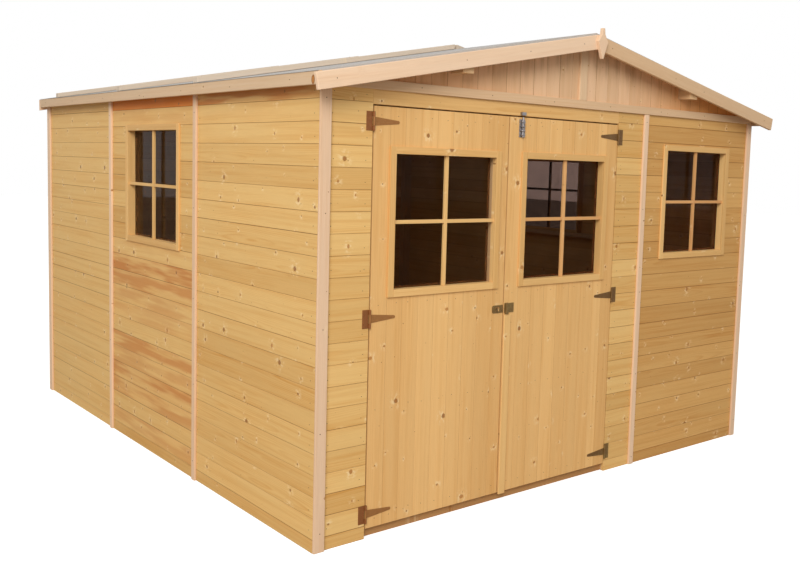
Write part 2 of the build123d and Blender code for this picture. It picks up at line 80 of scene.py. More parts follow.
LEAF_BACK = -1.6145
LEFT_LIGHT = (-1.108, -0.55, 1.048, 1.613)
RIGHT_LIGHT = (-0.357, 0.181, 1.049, 1.614)
FRONT_LIGHT = (0.691, 1.23, 1.135, 1.688)
SIDE_LIGHT = (-0.353, 0.28, 1.139, 1.704)
LINING = 0.01
CASING = 0.031
CASING_PROUD = 0.009


# Ways of working
def nothing_selected():
    """Leaves edit mode and lets go of every piece."""
    if bpy.context.object and bpy.context.object.mode != "OBJECT":
        bpy.ops.object.mode_set(mode="OBJECT")
    bpy.ops.object.select_all(action="DESELECT")


def take(piece):
    """Makes one piece the only one that is worked on."""
    nothing_selected()
    piece.select_set(True)
    bpy.context.view_layer.objects.active = piece


def about(middle, half):
    """The two values at an equal distance on each side of a middle."""
    return middle - half, middle + half


def bar(x, y, z):
    """A squared length of timber or metal between two values on each axis."""
    nothing_selected()
    spans = [sorted(span) for span in (x, y, z)]
    middle = [(low + high) / 2 for low, high in spans]
    size = [high - low for low, high in spans]
    bpy.ops.mesh.primitive_cube_add(size=1, location=middle, scale=size)
    bpy.ops.object.transform_apply(location=True, rotation=True, scale=True)
    return bpy.context.object


def rod(middle, radius, length, axis, sides=20):
    """A round bar along one axis."""
    nothing_selected()
    turn = {"X": (0, math.pi / 2, 0), "Y": (math.pi / 2, 0, 0), "Z": (0, 0, 0)}[axis]
    bpy.ops.mesh.primitive_cylinder_add(
        vertices=sides, radius=radius, depth=length, location=middle, rotation=turn
    )
    bpy.ops.object.transform_apply(location=True, rotation=True, scale=True)
    return bpy.context.object


def pick(piece, test, kind="VERT"):
    """Opens a piece for editing with only the parts selected that pass a test on their middle."""
    take(piece)
    bpy.ops.object.mode_set(mode="EDIT")
    bpy.ops.mesh.select_mode(type=kind)
    bpy.ops.mesh.select_all(action="DESELECT")
    bpy.ops.object.mode_set(mode="OBJECT")
    mesh = piece.data
    points = mesh.vertices
    if kind == "VERT":
        for point in points:
            point.select = test(point.co)
    elif kind == "EDGE":
        for edge in mesh.edges:
            edge.select = test(points[edge.vertices[0]].co, points[edge.vertices[1]].co)
    else:
        for face in mesh.polygons:
            face.select = test(face.center, face.normal)
    bpy.ops.object.mode_set(mode="EDIT")


def close():
    """Ends the editing of a piece."""
    bpy.ops.object.mode_set(mode="OBJECT")


def shape(piece, kind, **settings):
    """Adds a modifier to a piece and applies it."""
    take(piece)
    change = piece.modifiers.new(kind, kind)
    for key, value in settings.items():
        setattr(change, key, value)
    bpy.ops.object.modifier_apply(modifier=change.name)
    return piece


def ease(piece, width, segments=1):
    """Takes the sharpness off all edges."""
    angle = math.radians(40)
    return shape(
        piece, "BEVEL", width=width, segments=segments, limit_method="ANGLE", angle_limit=angle
    )


def groove(piece, along, face_axis, face_at, width):
    """Planes the long edges on a board's face, which make the groove between two boards."""
    def on_face(first, second):
        run = second - first
        longest = max(range(3), key=lambda axis: abs(run[axis]))
        near = abs(first[face_axis] - face_at) < 1e-5 and abs(second[face_axis] - face_at) < 1e-5
        return near and longest == along

    pick(piece, on_face, "EDGE")
    bpy.ops.mesh.bevel(offset=width, segments=1, affect="EDGES")
    close()
    return piece


def saw(piece, point, direction):
    """Cuts off what lies beyond a plane, and closes the cut."""
    take(piece)
    bpy.ops.object.mode_set(mode="EDIT")
    bpy.ops.mesh.select_all(action="SELECT")
    bpy.ops.mesh.bisect(
        plane_co=point, plane_no=direction, use_fill=True, clear_outer=True, threshold=1e-6
    )
    close()
    return piece


def cut_out(piece, cutter):
    """Cuts a shape out of a piece and keeps the cutter."""
    return shape(piece, "BOOLEAN", operation="DIFFERENCE", solver="EXACT", object=cutter)


def copy_of(piece, move):
    """Another one of a piece, with its own mesh, moved along."""
    other = piece.copy()
    other.data = piece.data.copy()
    other.data.transform(Matrix.Translation(move))
    bpy.context.collection.objects.link(other)
    return other


def discard(piece):
    """Throws a pattern or cutter away."""
    bpy.data.objects.remove(piece, do_unlink=True)


def bore(piece, cutter):
    """Cuts a shape out of a piece and throws the cutter away."""
    cut_out(piece, cutter)
    discard(cutter)
    return piece


def lower_end(piece, axis, beyond, drop):
    """Slopes a board by moving the points beyond a place down."""
    pick(piece, lambda point: point[axis] * math.copysign(1, beyond) > abs(beyond))
    bpy.ops.transform.translate(value=(0, 0, -drop))
    close()
    return piece


def mark_grain(piece, along, across, tone=None):
    """Writes how far along, across and through its own board each point lies, and the board's lot."""
    mesh = piece.data
    points = np.empty(len(mesh.vertices) * 3, np.float32)
    mesh.vertices.foreach_get("co", points)
    points = points.reshape(-1, 3)
    low, high = points.min(0), points.max(0)
    u = Vector(along).normalized()
    v = Vector(across).normalized()
    turned = (points - (low + high) / 2) @ np.array([u, v, u.cross(v)]).T
    half = float(np.abs(turned[:, 1]).max())
    lot = (random.random(), random.random() if tone is None else tone, half)
    grain = mesh.attributes.new("grain", "FLOAT_VECTOR", "POINT")
    grain.data.foreach_set("vector", turned.astype(np.float32).ravel())
    batch = mesh.attributes.new("lot", "FLOAT_VECTOR", "POINT")
    batch.data.foreach_set("vector", np.tile(np.array(lot, np.float32), len(points)))
    return piece


def assemble(name, parts):
    """Joins finished parts into one piece."""
    nothing_selected()
    for part in parts:
        part.select_set(True)
    bpy.context.view_layer.objects.active = parts[0]
    if len(parts) > 1:
        bpy.ops.object.join()
    whole = bpy.context.object
    whole.name = name
    whole.data.name = name
    return whole


def build(name, parts, finish, slot, *nodes, body="shed"):
    """Joins parts into a piece with its finish, and puts it on a moving body of the frame."""
    piece = assemble(name, parts)
    piece.data.materials.clear()
    piece.data.materials.append(finish)
    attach(piece, body)
    if nodes:
        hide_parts(*nodes)


def dress(node, finish):
    """Gives a part that keeps its solid its finish."""
    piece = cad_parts[node]
    for place in piece.material_slots:
        place.link = "OBJECT"
        place.material = finish


# Ways of making a finish
def work_on(node_tree):
    """Makes one node tree the only one that nodes are added to."""
    global tree
    tree = node_tree
    return tree.nodes


def new_finish(name):
    """An empty finish and its shader, to be worked on."""
    finish = bpy.data.materials.new(name)
    finish.use_nodes = True
    return finish, work_on(finish.node_tree)["Principled BSDF"]


def feed(node, inputs):
    """Feeds a node's inputs with values or with other nodes' outputs."""
    for key, value in inputs.items():
        if isinstance(value, bpy.types.NodeSocket):
            tree.links.new(value, node.inputs[key])
        else:
            node.inputs[key].default_value = value


def put(kind, inputs, **settings):
    """Adds a node with its settings, and feeds its inputs with values or other outputs."""
    node = tree.nodes.new("ShaderNode" + kind)
    for key, value in settings.items():
        setattr(node, key, value)
    feed(node, inputs)
    return node


def calc(operation, *values):
    """One sum on numbers."""
    return put("Math", dict(enumerate(values)), operation=operation).outputs[0]


def times(first, second):
    """Two numbers multiplied."""
    return calc("MULTIPLY", first, second)


def scaled(value, factor, offset):
    """A number times a factor, plus an offset."""
    return calc("MULTIPLY_ADD", value, factor, offset)


def move(operation, *values):
    """One sum on vectors."""
    node = put("VectorMath", dict(enumerate(values)), operation=operation)
    return node.outputs["Value" if operation == "LENGTH" else "Vector"]


def grow(vector, number):
    """A constant direction made as long as a number says."""
    node = put("VectorMath", {0: vector, "Scale": number}, operation="SCALE")
    return node.outputs["Vector"]


def own_place():
    """The place of a point in its piece's own space, in metres."""
    return put("TexCoord", {}).outputs["Object"]


def parts_of(vector):
    """The three numbers of a vector."""
    return put("SeparateXYZ", {0: vector}).outputs


def between(value, low, high, start=0.0, end=1.0):
    """A number that runs smoothly from start to end while value runs from low to high."""
    inputs = {"Value": value, "From Min": low, "From Max": high, "To Min": start, "To Max": end}
    return put("MapRange", inputs, interpolation_type="SMOOTHSTEP").outputs[0]


def cloud(place, scale, detail=2.0, rough=0.5):
    """Soft noise that is read at a place, with a scale for each axis."""
    spot = move("MULTIPLY", place, scale)
    inputs = {"Vector": spot, "Scale": 1.0, "Detail": detail, "Roughness": rough}
    return put("TexNoise", inputs).outputs[0]


def blend(share, first, second, way="MIX"):
    """Two colours mixed."""
    node = put("Mix", {0: share}, data_type="RGBA", blend_type=way)
    for key, value in ((6, first), (7, second)):
        feed(node, {key: (*value, 1) if isinstance(value, tuple) else value})
    return node.outputs[2]


def relief(height, strength, distance):
    """A surface's small relief from a height."""
    inputs = {"Strength": strength, "Distance": distance, "Height": height}
    return put("Bump", inputs).outputs[0]


def grey(number):
    """A number as a grey colour."""
    return put("CombineXYZ", {0: number, 1: number, 2: number}).outputs[0]


KNOT_RED = (0.5, 0.205, 0.05)
KNOT_DARK = (0.3, 0.11, 0.022)
# Brown of the board seams: partly dirt in the joints, partly painted shade in the grooves
SEAM_DIRT_AND_SHADE = (0.26, 0.11, 0.022)
RED_HEART = (0.56, 0.225, 0.06)
DEEP_HEART = (0.68, 0.19, 0.017)
STAIN_AND_SHADE_BROWN = (0.34, 0.17, 0.075)
GABLE_SHADE_ORANGE = (0.72, 0.29, 0.06)
PALE_FLECK = (0.92, 0.72, 0.42)
BOARD_SHIFT = (37.0, 11.3, 5.1)
# Knots: cells in a metre along and across, the share of cells with one, least radius and spread
KNOTS = ((4.4, 10.0), 0.74, 0.0027, 0.0092)
PINS = ((7.5, 19.0), 0.36, 0.0009, 0.0018)
PIN_SHIFT = (3.3, 1.7, 0.0)
RINGS_A_METRE = 165.0
PITH_DEPTH = 0.036
RING_DARK = ((0.45, 0.25), (0.84, 1.0))


def knot_field(place, share, step, amount, smallest, spread):
    """Knots scattered along the boards: cores, the ground round each, and a number for each."""
    wide = move("MULTIPLY", place, (*step, 1.0))
    inputs = {"Vector": wide, "Scale": 1.0, "Randomness": 0.9}
    cells = put("TexVoronoi", inputs, voronoi_dimensions="2D")
    draw = parts_of(cells.outputs["Color"])
    back = (1 / step[0], 1 / step[1], 0)
    away = move("MULTIPLY", move("SUBTRACT", wide, cells.outputs["Position"]), back)
    along, across, _ = parts_of(away)
    along = calc("DIVIDE", along, scaled(draw[2], 0.55, 0.6))
    flat = put("CombineXYZ", {0: along, 1: across}).outputs[0]
    ragged = scaled(cloud(place, (170.0, 240.0, 0.0), 1.0), 0.9, 0.55)
    distance = times(move("LENGTH", flat), ragged)
    present = calc("GREATER_THAN", draw[0], 1 - amount * share)
    radius = scaled(times(draw[1], draw[1]), spread, smallest)
    core = between(calc("DIVIDE", distance, radius), 0.7, 1.2, 1.0, 0.0)
    reach = calc("DIVIDE", distance, scaled(radius, 2.8, 0.005))
    ground = between(reach, 0.25, 1.5, 1.0, 0.0)
    return times(present, core), times(present, ground), draw[2]


def growth_rings(across, through, tone, bend):
    """Rings round a pith behind the board: pale early wood that darkens to a sharp edge."""
    sideways = calc("ADD", across, scaled(tone, 0.12, -0.06))
    deep = calc("ADD", through, PITH_DEPTH)
    pith = move("LENGTH", put("CombineXYZ", {0: sideways, 1: deep}).outputs[0])
    turns = scaled(pith, RINGS_A_METRE, calc("ADD", bend, 20.0))
    ramp = put("ValToRGB", {0: calc("FRACT", turns)})
    steps = ramp.color_ramp.elements
    for step, position in zip(steps, (0.0, 1.0)):
        step.position, step.color = position, (0.05, 0.05, 0.05, 1)
    for position, level in RING_DARK:
        steps.new(position).color = (level, level, level, 1)
    return ramp.outputs[0]


def stain_and_painted_shade(colour, place):
    """Streaky water stains under the roof, made darker as painted warm shade under the bargeboards, and
    painted warm shade that turns a gable orange towards both ends.
    """
    spot = parts_of(own_place())
    roof = scaled(calc("ABSOLUTE", spot[0]), -ROOF_SLOPE, DECK_TOP)
    below = between(calc("SUBTRACT", roof, spot[2]), 0.03, 0.26, 1.0, 0.0)
    run = between(cloud(place, (4.0, 26.0, 0.0), 3.0), 0.45, 0.68)
    # Streaky brown under the roof: partly water stains, partly painted warm shade under the bargeboards
    colour = blend(times(times(below, run), 0.4), colour, STAIN_AND_SHADE_BROWN)
    # Orange towards both ends of the gable: painted warm shade
    to_left = between(spot[0], -0.05, -1.1, 0.0, 0.45)
    to_right = between(spot[0], 0.15, 1.2, 0.0, 0.92)
    return blend(calc("MAXIMUM", to_left, to_right), colour, GABLE_SHADE_ORANGE)


def placed_knot(colour, middle, fibre):
    """One large knot at a set place, red with a dark rim."""
    away = move("SUBTRACT", own_place(), middle)
    away = move("MULTIPLY", away, (60.0, 75.0, 48.0))
    reach = calc("ADD", move("LENGTH", away), scaled(fibre, 0.3, -0.15))
    colour = blend(between(reach, 0.75, 1.0, 1.0, 0.0), colour, KNOT_DARK)
    return blend(between(reach, 0.45, 0.7, 1.0, 0.0), colour, KNOT_RED)


def pine(
    name, early, late, figure=0.5, knots=1.0, along=None, seam=0.7, flash=0.55, stained_and_shaded=False, big_knot=None
):
    """Planed softwood: growth rings, streaks, fibres, knots, and a lot for each board."""
    finish, shader = new_finish(name)
    if along is None:
        grain = put("Attribute", {}, attribute_name="grain").outputs["Vector"]
        lot = put("Attribute", {}, attribute_name="lot").outputs["Vector"]
        number, tone, half = parts_of(lot)
        place = move("ADD", grain, grow(BOARD_SHIFT, number))
    else:
        turn = {"X": (0, 0, 0), "Y": (0, 0, -math.pi / 2), "Z": (0, math.pi / 2, 0)}[along]
        inputs = {"Vector": own_place(), "Rotation": turn}
        grain = place = put("Mapping", inputs).outputs[0]
        tone = 0.5

    large, ground, draw = knot_field(place, knots, *KNOTS)
    pins, _, _ = knot_field(move("ADD", place, PIN_SHIFT), knots, *PINS)
    _, across, through = parts_of(grain)
    wander = times(cloud(place, (1.0, 5.0, 6.0), 2.0), 9.0)
    ring = growth_rings(across, through, tone, scaled(ground, 1.7, wander))
    fibre = cloud(place, (16.0, 620.0, 620.0), 1.0)
    streak = cloud(place, (1.2, 48.0, 30.0), 3.0, 0.6)
    drift = cloud(place, (1.6, 9.0, 7.0), 3.0, 0.55)
    share = times(between(drift, 0.35, 0.7), times(ring, figure))
    share = calc("ADD", share, between(streak, 0.42, 0.72, 0.0, 0.36))
    if along is None:
        share = calc("ADD", share, between(tone, 0.0, 1.0, 0.34, 0.0))
    colour = blend(share, early, late)
    spark = between(cloud(place, (42.0, 75.0, 0.0), 2.0), 0.47, 0.6)
    pale = times(times(ground, spark), flash)
    colour = blend(pale, colour, PALE_FLECK)
    level = 1.0
    if along is None:
        flame = between(cloud(place, (2.2, 22.0, 0.0), 2.0), 0.38, 0.6, 0.2, 1.0)
        heart = times(between(tone, 1.0, 2.0), flame)
        colour = blend(heart, colour, RED_HEART)
        colour = blend(between(tone, 2.0, 3.0, 0.0, 0.8), colour, DEEP_HEART)
        level = scaled(calc("MINIMUM", tone, 1.0), 0.1, 0.975)
    light = times(scaled(fibre, 0.12, scaled(drift, 0.16, 0.86)), level)
    colour = blend(1.0, colour, grey(light), "MULTIPLY")
    # Gable boards: water stains and painted warm shade under the roof
    if stained_and_shaded:
        colour = stain_and_painted_shade(colour, place)
    knot = blend(between(draw, 0.25, 0.8), KNOT_RED, KNOT_DARK)
    colour = blend(times(large, 0.85), colour, knot)
    if big_knot:
        colour = placed_knot(colour, big_knot, fibre)
    colour = blend(times(pins, 0.8), colour, KNOT_DARK)
    # Darker brown along each board's long edges: partly dirt in the joints, partly painted shade in the
    # grooves between boards
    if along is None:
        rim = calc("SUBTRACT", half, calc("ABSOLUTE", across))
        joint = between(rim, 0.0005, 0.0024, 1.0, 0.0)
        chance = scaled(calc("FRACT", times(number, 7.3)), 0.7, 0.3)
        joint = times(times(joint, chance), seam)
        colour = blend(joint, colour, SEAM_DIRT_AND_SHADE)
    height = scaled(fibre, 0.5, times(ring, 0.35))
    feed(shader, {
        "Base Color": colour,
        "Roughness": scaled(ring, -0.08, scaled(large, -0.12, 0.64)),
        "Normal": relief(height, 0.35, 0.0006),
        "Specular IOR Level": 0.25,
    })
    return finish


def metal(name, pale, dark, shine, rough, size):
    """Plated or rusting steel: two colours in soft patches, with a little grit."""
    finish, shader = new_finish(name)
    place = own_place()
    patches = cloud(place, (size, size, size), 4.0, 0.6)
    grit = cloud(place, (900.0, 900.0, 900.0), 1.0)
    drift = between(cloud(place, (1.9, 1.9, 1.9), 1.0), 0.4, 0.6, 0.0, 0.8)
    share = calc("ADD", between(patches, 0.35, 0.65, 0.0, 0.6), drift)
    feed(shader, {
        "Base Color": blend(share, pale, dark),
        "Roughness": scaled(patches, 0.25, rough),
        "Normal": relief(grit, 0.2, 0.0004),
        "Metallic": shine,
    })
    return finish


def window_pane(name):
    """Sheet glass tinted brown: painted shade of the dim room seen through it, with a faint film of dust.
    """
    finish, shader = new_finish(name)
    dust = cloud(own_place(), (9.0, 9.0, 9.0), 4.0, 0.6)
    film = between(dust, 0.3, 0.75)
    feed(shader, {
        "Base Color": blend(film, (0.38, 0.3, 0.27), (0.33, 0.26, 0.235)),
        "Roughness": between(dust, 0.2, 0.8, 0.0, 0.04),
        "Transmission Weight": 1.0,
        "IOR": 1.1,
    })
    return finish


def mineral_felt(name):
    """Bitumen felt with a dressing of pale grey grit, paler where it is worn."""
    finish, shader = new_finish(name)
    place = own_place()
    grit = cloud(place, (650.0, 650.0, 650.0), 2.0, 0.7)
    wear = between(cloud(place, (2.5, 2.5, 2.5), 4.0, 0.6), 0.4, 0.75, 0.0, 0.45)
    colour = blend(between(grit, 0.35, 0.65), (0.36, 0.345, 0.33), (0.62, 0.59, 0.555))
    feed(shader, {
        "Base Color": blend(wear, colour, (0.68, 0.61, 0.55)),
        "Normal": relief(grit, 0.6, 0.001),
        "Roughness": 0.85,
    })
    return finish


# Finishes: early and late wood, figure and knots; pale and dark metal, shine, roughness, patches
honey_boards = pine("honey_boards", (0.79, 0.515, 0.2), (0.65, 0.335, 0.088), 0.6, seam=0.85)
# A darker copy of honey_boards: painted shade for the front's window panel
shaded_boards = pine("shaded_boards", (0.68, 0.4, 0.14), (0.54, 0.255, 0.064), 0.6, seam=0.85)
door_boards = pine("door_boards", (0.82, 0.505, 0.205), (0.69, 0.36, 0.112), 0.42, seam=0.35)
honey_joinery = pine("honey_joinery", (0.8, 0.505, 0.205), (0.66, 0.355, 0.11), 0.45, 0.5, seam=0)
bar_wood = pine("bar_wood", (0.74, 0.41, 0.165), (0.62, 0.27, 0.08), 0.45, 0.2, seam=0)
BARE = {"figure": 0.4, "knots": 0.4, "seam": 0, "flash": 0.3}
FASCIA_KNOT = (-1.53, -1.697, 1.879)
pale_trim = pine("pale_trim", (0.84, 0.61, 0.425), (0.75, 0.48, 0.285), **BARE)
# A darker, yellower copy of pale_trim: painted shade for the gable rail and the right bargeboard
front_trim = pine("front_trim", (0.77, 0.545, 0.34), (0.68, 0.43, 0.235), **BARE)
eaves_colours = ((0.74, 0.55, 0.368), (0.66, 0.432, 0.247))
eaves_wood = pine("eaves_wood", *eaves_colours, **BARE, big_knot=FASCIA_KNOT)
lath_wood = pine("lath_wood", (0.69, 0.59, 0.485), (0.6, 0.47, 0.34), **BARE)
gable_colours = ((0.8, 0.53, 0.325), (0.7, 0.435, 0.23))
# The gable boards carry water stains and painted warm shade under the roof and towards both ends
gable_boards = pine("gable_boards", *gable_colours, 0.3, seam=0.75, stained_and_shaded=True)
roof_boards = pine("roof_boards", (0.7, 0.475, 0.27), (0.54, 0.32, 0.15), 0.55)
stud_wood = pine("stud_wood", (0.7, 0.47, 0.26), (0.56, 0.33, 0.15), 0.6, 0.6, along="Z")
rail_wood = pine("rail_wood", (0.7, 0.47, 0.26), (0.56, 0.33, 0.15), 0.6, 0.6, along="X")
beam_wood = pine("beam_wood", (0.72, 0.48, 0.26), (0.56, 0.33, 0.15), 0.6, 0.6, along="Y")
# Darker than the other framing wood: painted shade for the sill recessed under the doors
sill_wood = pine("sill_wood", (0.55, 0.29, 0.11), (0.4, 0.17, 0.05), 0.7, 0.8, along="X")
red_bronze = metal("red_bronze", (0.45, 0.166, 0.045), (0.275, 0.098, 0.027), 0.35, 0.42, 70.0)
warm_bronze = metal("warm_bronze", (0.51, 0.235, 0.066), (0.355, 0.156, 0.044), 0.35, 0.42, 60.0)
olive_bronze = metal("olive_bronze", (0.265, 0.175, 0.058), (0.18, 0.09, 0.027), 0.4, 0.38, 55.0)
bright_zinc = metal("bright_zinc", (0.44, 0.42, 0.43), (0.3, 0.285, 0.29), 0.9, 0.28, 40.0)
nail_steel = metal("nail_steel", (0.2, 0.105, 0.055), (0.1, 0.05, 0.026), 0.4, 0.5, 90.0)
glass = window_pane("glass")
felt = mineral_felt("felt")

UP = (0, 0, 1)
ALONG_X = (1, 0, 0)
ALONG_Y = (0, 1, 0)


GAP = 0.0001
WALL_GROOVE = 0.0013
THROUGH = 0.05


def grow_light(light):
    """The span across and up of a window's opening with its lining."""
    left, right, low, high = light
    return (left - LINING, right + LINING), (low - LINING, high + LINING)


# Walls: level boards, modelled once for a panel, copied at each course and cut round the window
def courses(top):
    """The lower edge of every course of boards up to a wall's head."""
    lowest = SEAM_AT - math.ceil(SEAM_AT / COVER) * COVER
    count = math.ceil((top - lowest) / COVER)
    return [lowest + index * COVER for index in range(count)]


def level_boarding(x, y, top, thick_axis, outside, light=None, red=None):
    """The boards of one wall panel, some of them toned at given heights: reddened by red heartwood and by
    painted warm shade under the eaves, or made paler as painted light.
    """
    run = 1 - thick_axis
    pattern = bar(x, y, (GAP, COVER - GAP))
    groove(pattern, run, thick_axis, outside, WALL_GROOVE)
    cutter = None
    if light:
        grown = grow_light(light)
        reach = about(outside, THROUGH)
        spans = (reach, grown[0]) if thick_axis == 0 else (grown[0], reach)
        cutter = bar(*spans, grown[1])
    boards = []
    for low in courses(top):
        board = copy_of(pattern, (0, 0, low))
        if low < 0:
            saw(board, (0, 0, 0), (0, 0, -1))
        if low + COVER > top:
            saw(board, (0, 0, top), UP)
        if cutter and low + COVER > light[2] - LINING and low < light[3] + LINING:
            cut_out(board, cutter)
        tones = [tone for height, tone in (red or {}).items() if low < height < low + COVER]
        direction = ALONG_X if run == 0 else ALONG_Y
        mark_grain(board, direction, UP, tones[0] if tones else None)
        boards.append(board)
    discard(pattern)
    if cutter:
        discard(cutter)
    return boards


PANELS = {
    "front": (FRONT, SIDE_JOINTS[0]),
    "window": SIDE_JOINTS,
    "back": (SIDE_JOINTS[1], BACK_IN),
}
# Heights of boards with red heartwood: a tone from 1 to 2 reddens them, up to 3 deepens them. The top
# courses under the eaves are also reddened and deepened as painted warm shade.
SHADED_TOP_COURSES = {1.86: 2.0, 1.77: 1.2, 1.68: 1.12}
RED_BOARDS = {
    **{1.86: 2.9, 1.77: 1.35, 1.07: 1.3, 0.98: 1.9, 0.89: 1.7, 0.8: 1.5, 0.71: 1.4},
    **{0.54: 1.7, 0.45: 1.5, 0.36: 1.75, 0.27: 1.6, 0.1: 1.5},
}
# Pale, even tones: painted light that makes up for the lamp's falloff along the left wall
PAINTED_LIGHT_TONES = (0.85, 1.0)

for side, sign in (("left", -1), ("right", 1)):
    for place, span in PANELS.items():
        thick = (sign * SIDE_IN, sign * SIDE)
        light = SIDE_LIGHT if place == "window" else None
        red = RED_BOARDS if (side, place) == ("left", "window") else SHADED_TOP_COURSES
        # The left wall's back panel is made paler as painted light
        if (side, place) == ("left", "back"):
            red = {low + COVER / 2: random.uniform(*PAINTED_LIGHT_TONES) for low in courses(SIDE_TOP)[:-1]}
        name = f"{side}_{place}_boards"
        boards = level_boarding(thick, span, SIDE_TOP, 0, sign * SIDE, light, red)
        build(name, boards, honey_boards, "honey_boarding", f"{side}_wall_{place}")

FRONT_PANELS = {
    "front_return_left": ((-SIDE_IN, DOORWAY[0]), None),
    "front_return_right": ((DOORWAY[1], FRONT_JOINT), None),
    "front_wall_window": ((FRONT_JOINT, SIDE_IN), FRONT_LIGHT),
}

for node, (span, light) in FRONT_PANELS.items():
    boards = level_boarding(span, (FRONT, FRONT_IN), FRONT_TOP, 1, FRONT, light)
    # The window panel gets the darker boards: painted shade
    finish = shaded_boards if light else honey_boards
    build(node + "_boards", boards, finish, "honey_boarding", node)

back_boards = []
for start, end in ((-SIDE, BACK_JOINTS[0]), BACK_JOINTS, (BACK_JOINTS[1], SIDE)):
    back_boards += level_boarding((start, end), (BACK_IN, BACK), FRONT_TOP, 1, BACK)
build("back_wall_boards", back_boards, honey_boards, "honey_boarding", "back_wall")

head = ease(bar(DOORWAY, (FRONT, FRONT_IN), (HEAD_FOOT, FRONT_TOP)), 0.0015)
mark_grain(head, ALONG_X, UP)
build("door_head_board", [head], honey_joinery, "honey_boarding", "door_head")


# Gables: upright boards cut to the slope of the roof
def deck_under(x):
    """Height of the roof boards' underside at a distance x from the ridge."""
    return DECK_TOP - ROOF_SLOPE * abs(x) - DECK_RISE


GABLE_STEP = 0.086
GABLE_SEAM = -0.07
GABLE_GROOVE = 0.0015


def gable_boarding(half_width, y, outside):
    """The upright boards of one gable."""
    first = GABLE_SEAM - math.ceil((GABLE_SEAM + half_width) / GABLE_STEP) * GABLE_STEP
    over_ridge = deck_under(0) + 0.02
    pattern = bar((first + GAP, first + GABLE_STEP - GAP), y, (FRONT_TOP, over_ridge))
    groove(pattern, 2, 1, outside, GABLE_GROOVE)
    boards = []
    for index in range(math.ceil((half_width - first) / GABLE_STEP)):
        start = first + index * GABLE_STEP
        board = copy_of(pattern, (index * GABLE_STEP, 0, 0))
        if start < -half_width:
            saw(board, (-half_width, 0, 0), (-1, 0, 0))
        if start + GABLE_STEP > half_width:
            saw(board, (half_width, 0, 0), (1, 0, 0))
        if start < 0:
            saw(board, (0, 0, deck_under(0)), (-ROOF_SLOPE, 0, 1))
        if start + GABLE_STEP > 0:
            saw(board, (0, 0, deck_under(0)), (ROOF_SLOPE, 0, 1))
        mark_grain(board, UP, ALONG_X)
        boards.append(board)
    discard(pattern)
    return boards


for end, half_width, faces in (("front", SIDE_IN, (FRONT, FRONT_IN)), ("back", SIDE, (BACK, BACK_IN))):
    boards = gable_boarding(half_width, faces, faces[0])
    build(f"{end}_gable_boards", boards, gable_boards, "honey_boarding", f"{end}_gable")


# Strips and trim of bare wood
def strip(x, y, z, along, across, rounding=0.002):
    """One planed strip with its edges eased."""
    return mark_grain(ease(bar(x, y, z), rounding, 2), along, across)


def strip_front(x, z, along=UP, across=ALONG_X):
    """A strip on the front wall, upright as a rule."""
    return strip(x, (FRONT - STRIP_THICK, FRONT), z, along, across)


RAIL_HEIGHTS = (1.868, 1.908)
BATTEN_HALF = 0.025
FRONT_STRIP_HEIGHTS = (0, 1.867)
CORNER_WIDTH = 0.05

rail = strip_front((-1.458, 1.458), RAIL_HEIGHTS, ALONG_X, UP)
batten = strip_front((-BATTEN_HALF, BATTEN_HALF), (RAIL_HEIGHTS[1], deck_under(BATTEN_HALF)))
# The gable rail and batten take the darker trim: painted shade
build("gable_trim", [rail, batten], front_trim, "pale_trim", "front_gable_trim")

front_strips = []
for across in ((-SIDE, -SIDE + CORNER_WIDTH), about(FRONT_JOINT, STRIP_WIDTH / 2), (1.429, 1.469)):
    front_strips.append(strip_front(across, FRONT_STRIP_HEIGHTS))
build("front_joint_strips", front_strips, pale_trim, "pale_trim")
strips = []
for joint in BACK_JOINTS:
    across = about(joint, STRIP_WIDTH / 2)
    strips.append(strip(across, (BACK, BACK + STRIP_THICK), (0, FRONT_TOP), UP, ALONG_X))
for sign in (-1, 1):
    thick = (sign * SIDE, sign * (SIDE + STRIP_THICK))
    for joint in SIDE_JOINTS:
        across = about(joint, STRIP_WIDTH / 2)
        strips.append(strip(thick, across, (0, STRIP_TOP), UP, ALONG_Y))
    strips.append(strip(thick, (BACK - CORNER_WIDTH, BACK), (0, STRIP_TOP), UP, ALONG_Y))
build("joint_strips", strips, pale_trim, "pale_trim", "cover_strips")


def fascia_board(sign):
    """An eaves board with its top planed to the slope of the roof."""
    inner, outer = DECK_EAVE, FASCIA_FACE
    top = DECK_TOP - ROOF_SLOPE * inner
    board = bar((sign * inner, sign * outer), (BARGE_BACK, BACK), (FASCIA_FOOT, top))
    pick(board, lambda point: abs(point.x) > outer - 0.001 and point.z > top - 0.001)
    bpy.ops.transform.translate(value=(0, 0, -ROOF_SLOPE * (outer - inner)))
    close()
    return mark_grain(ease(board, 0.002, 2), ALONG_Y, UP)


fascias = [fascia_board(sign) for sign in (-1, 1)]
build("eave_boards", fascias, eaves_wood, "pale_trim", "eave_fascias")


# Roof
def sloped(x, y, z, slope):
    """A board that runs down one side of the roof, with upright ends."""
    board = bar(x, y, z)
    inner, outer = sorted(x, key=abs)
    return lower_end(board, 0, (inner + outer) / 2, slope * (abs(outer) - abs(inner)))


def slope_grain(board, sign, slope):
    """The grain of a board that runs down the roof."""
    return mark_grain(board, (sign, 0, -slope), ALONG_Y)


DECK_STEP = 0.0895
RIDGE_GAP = 0.001

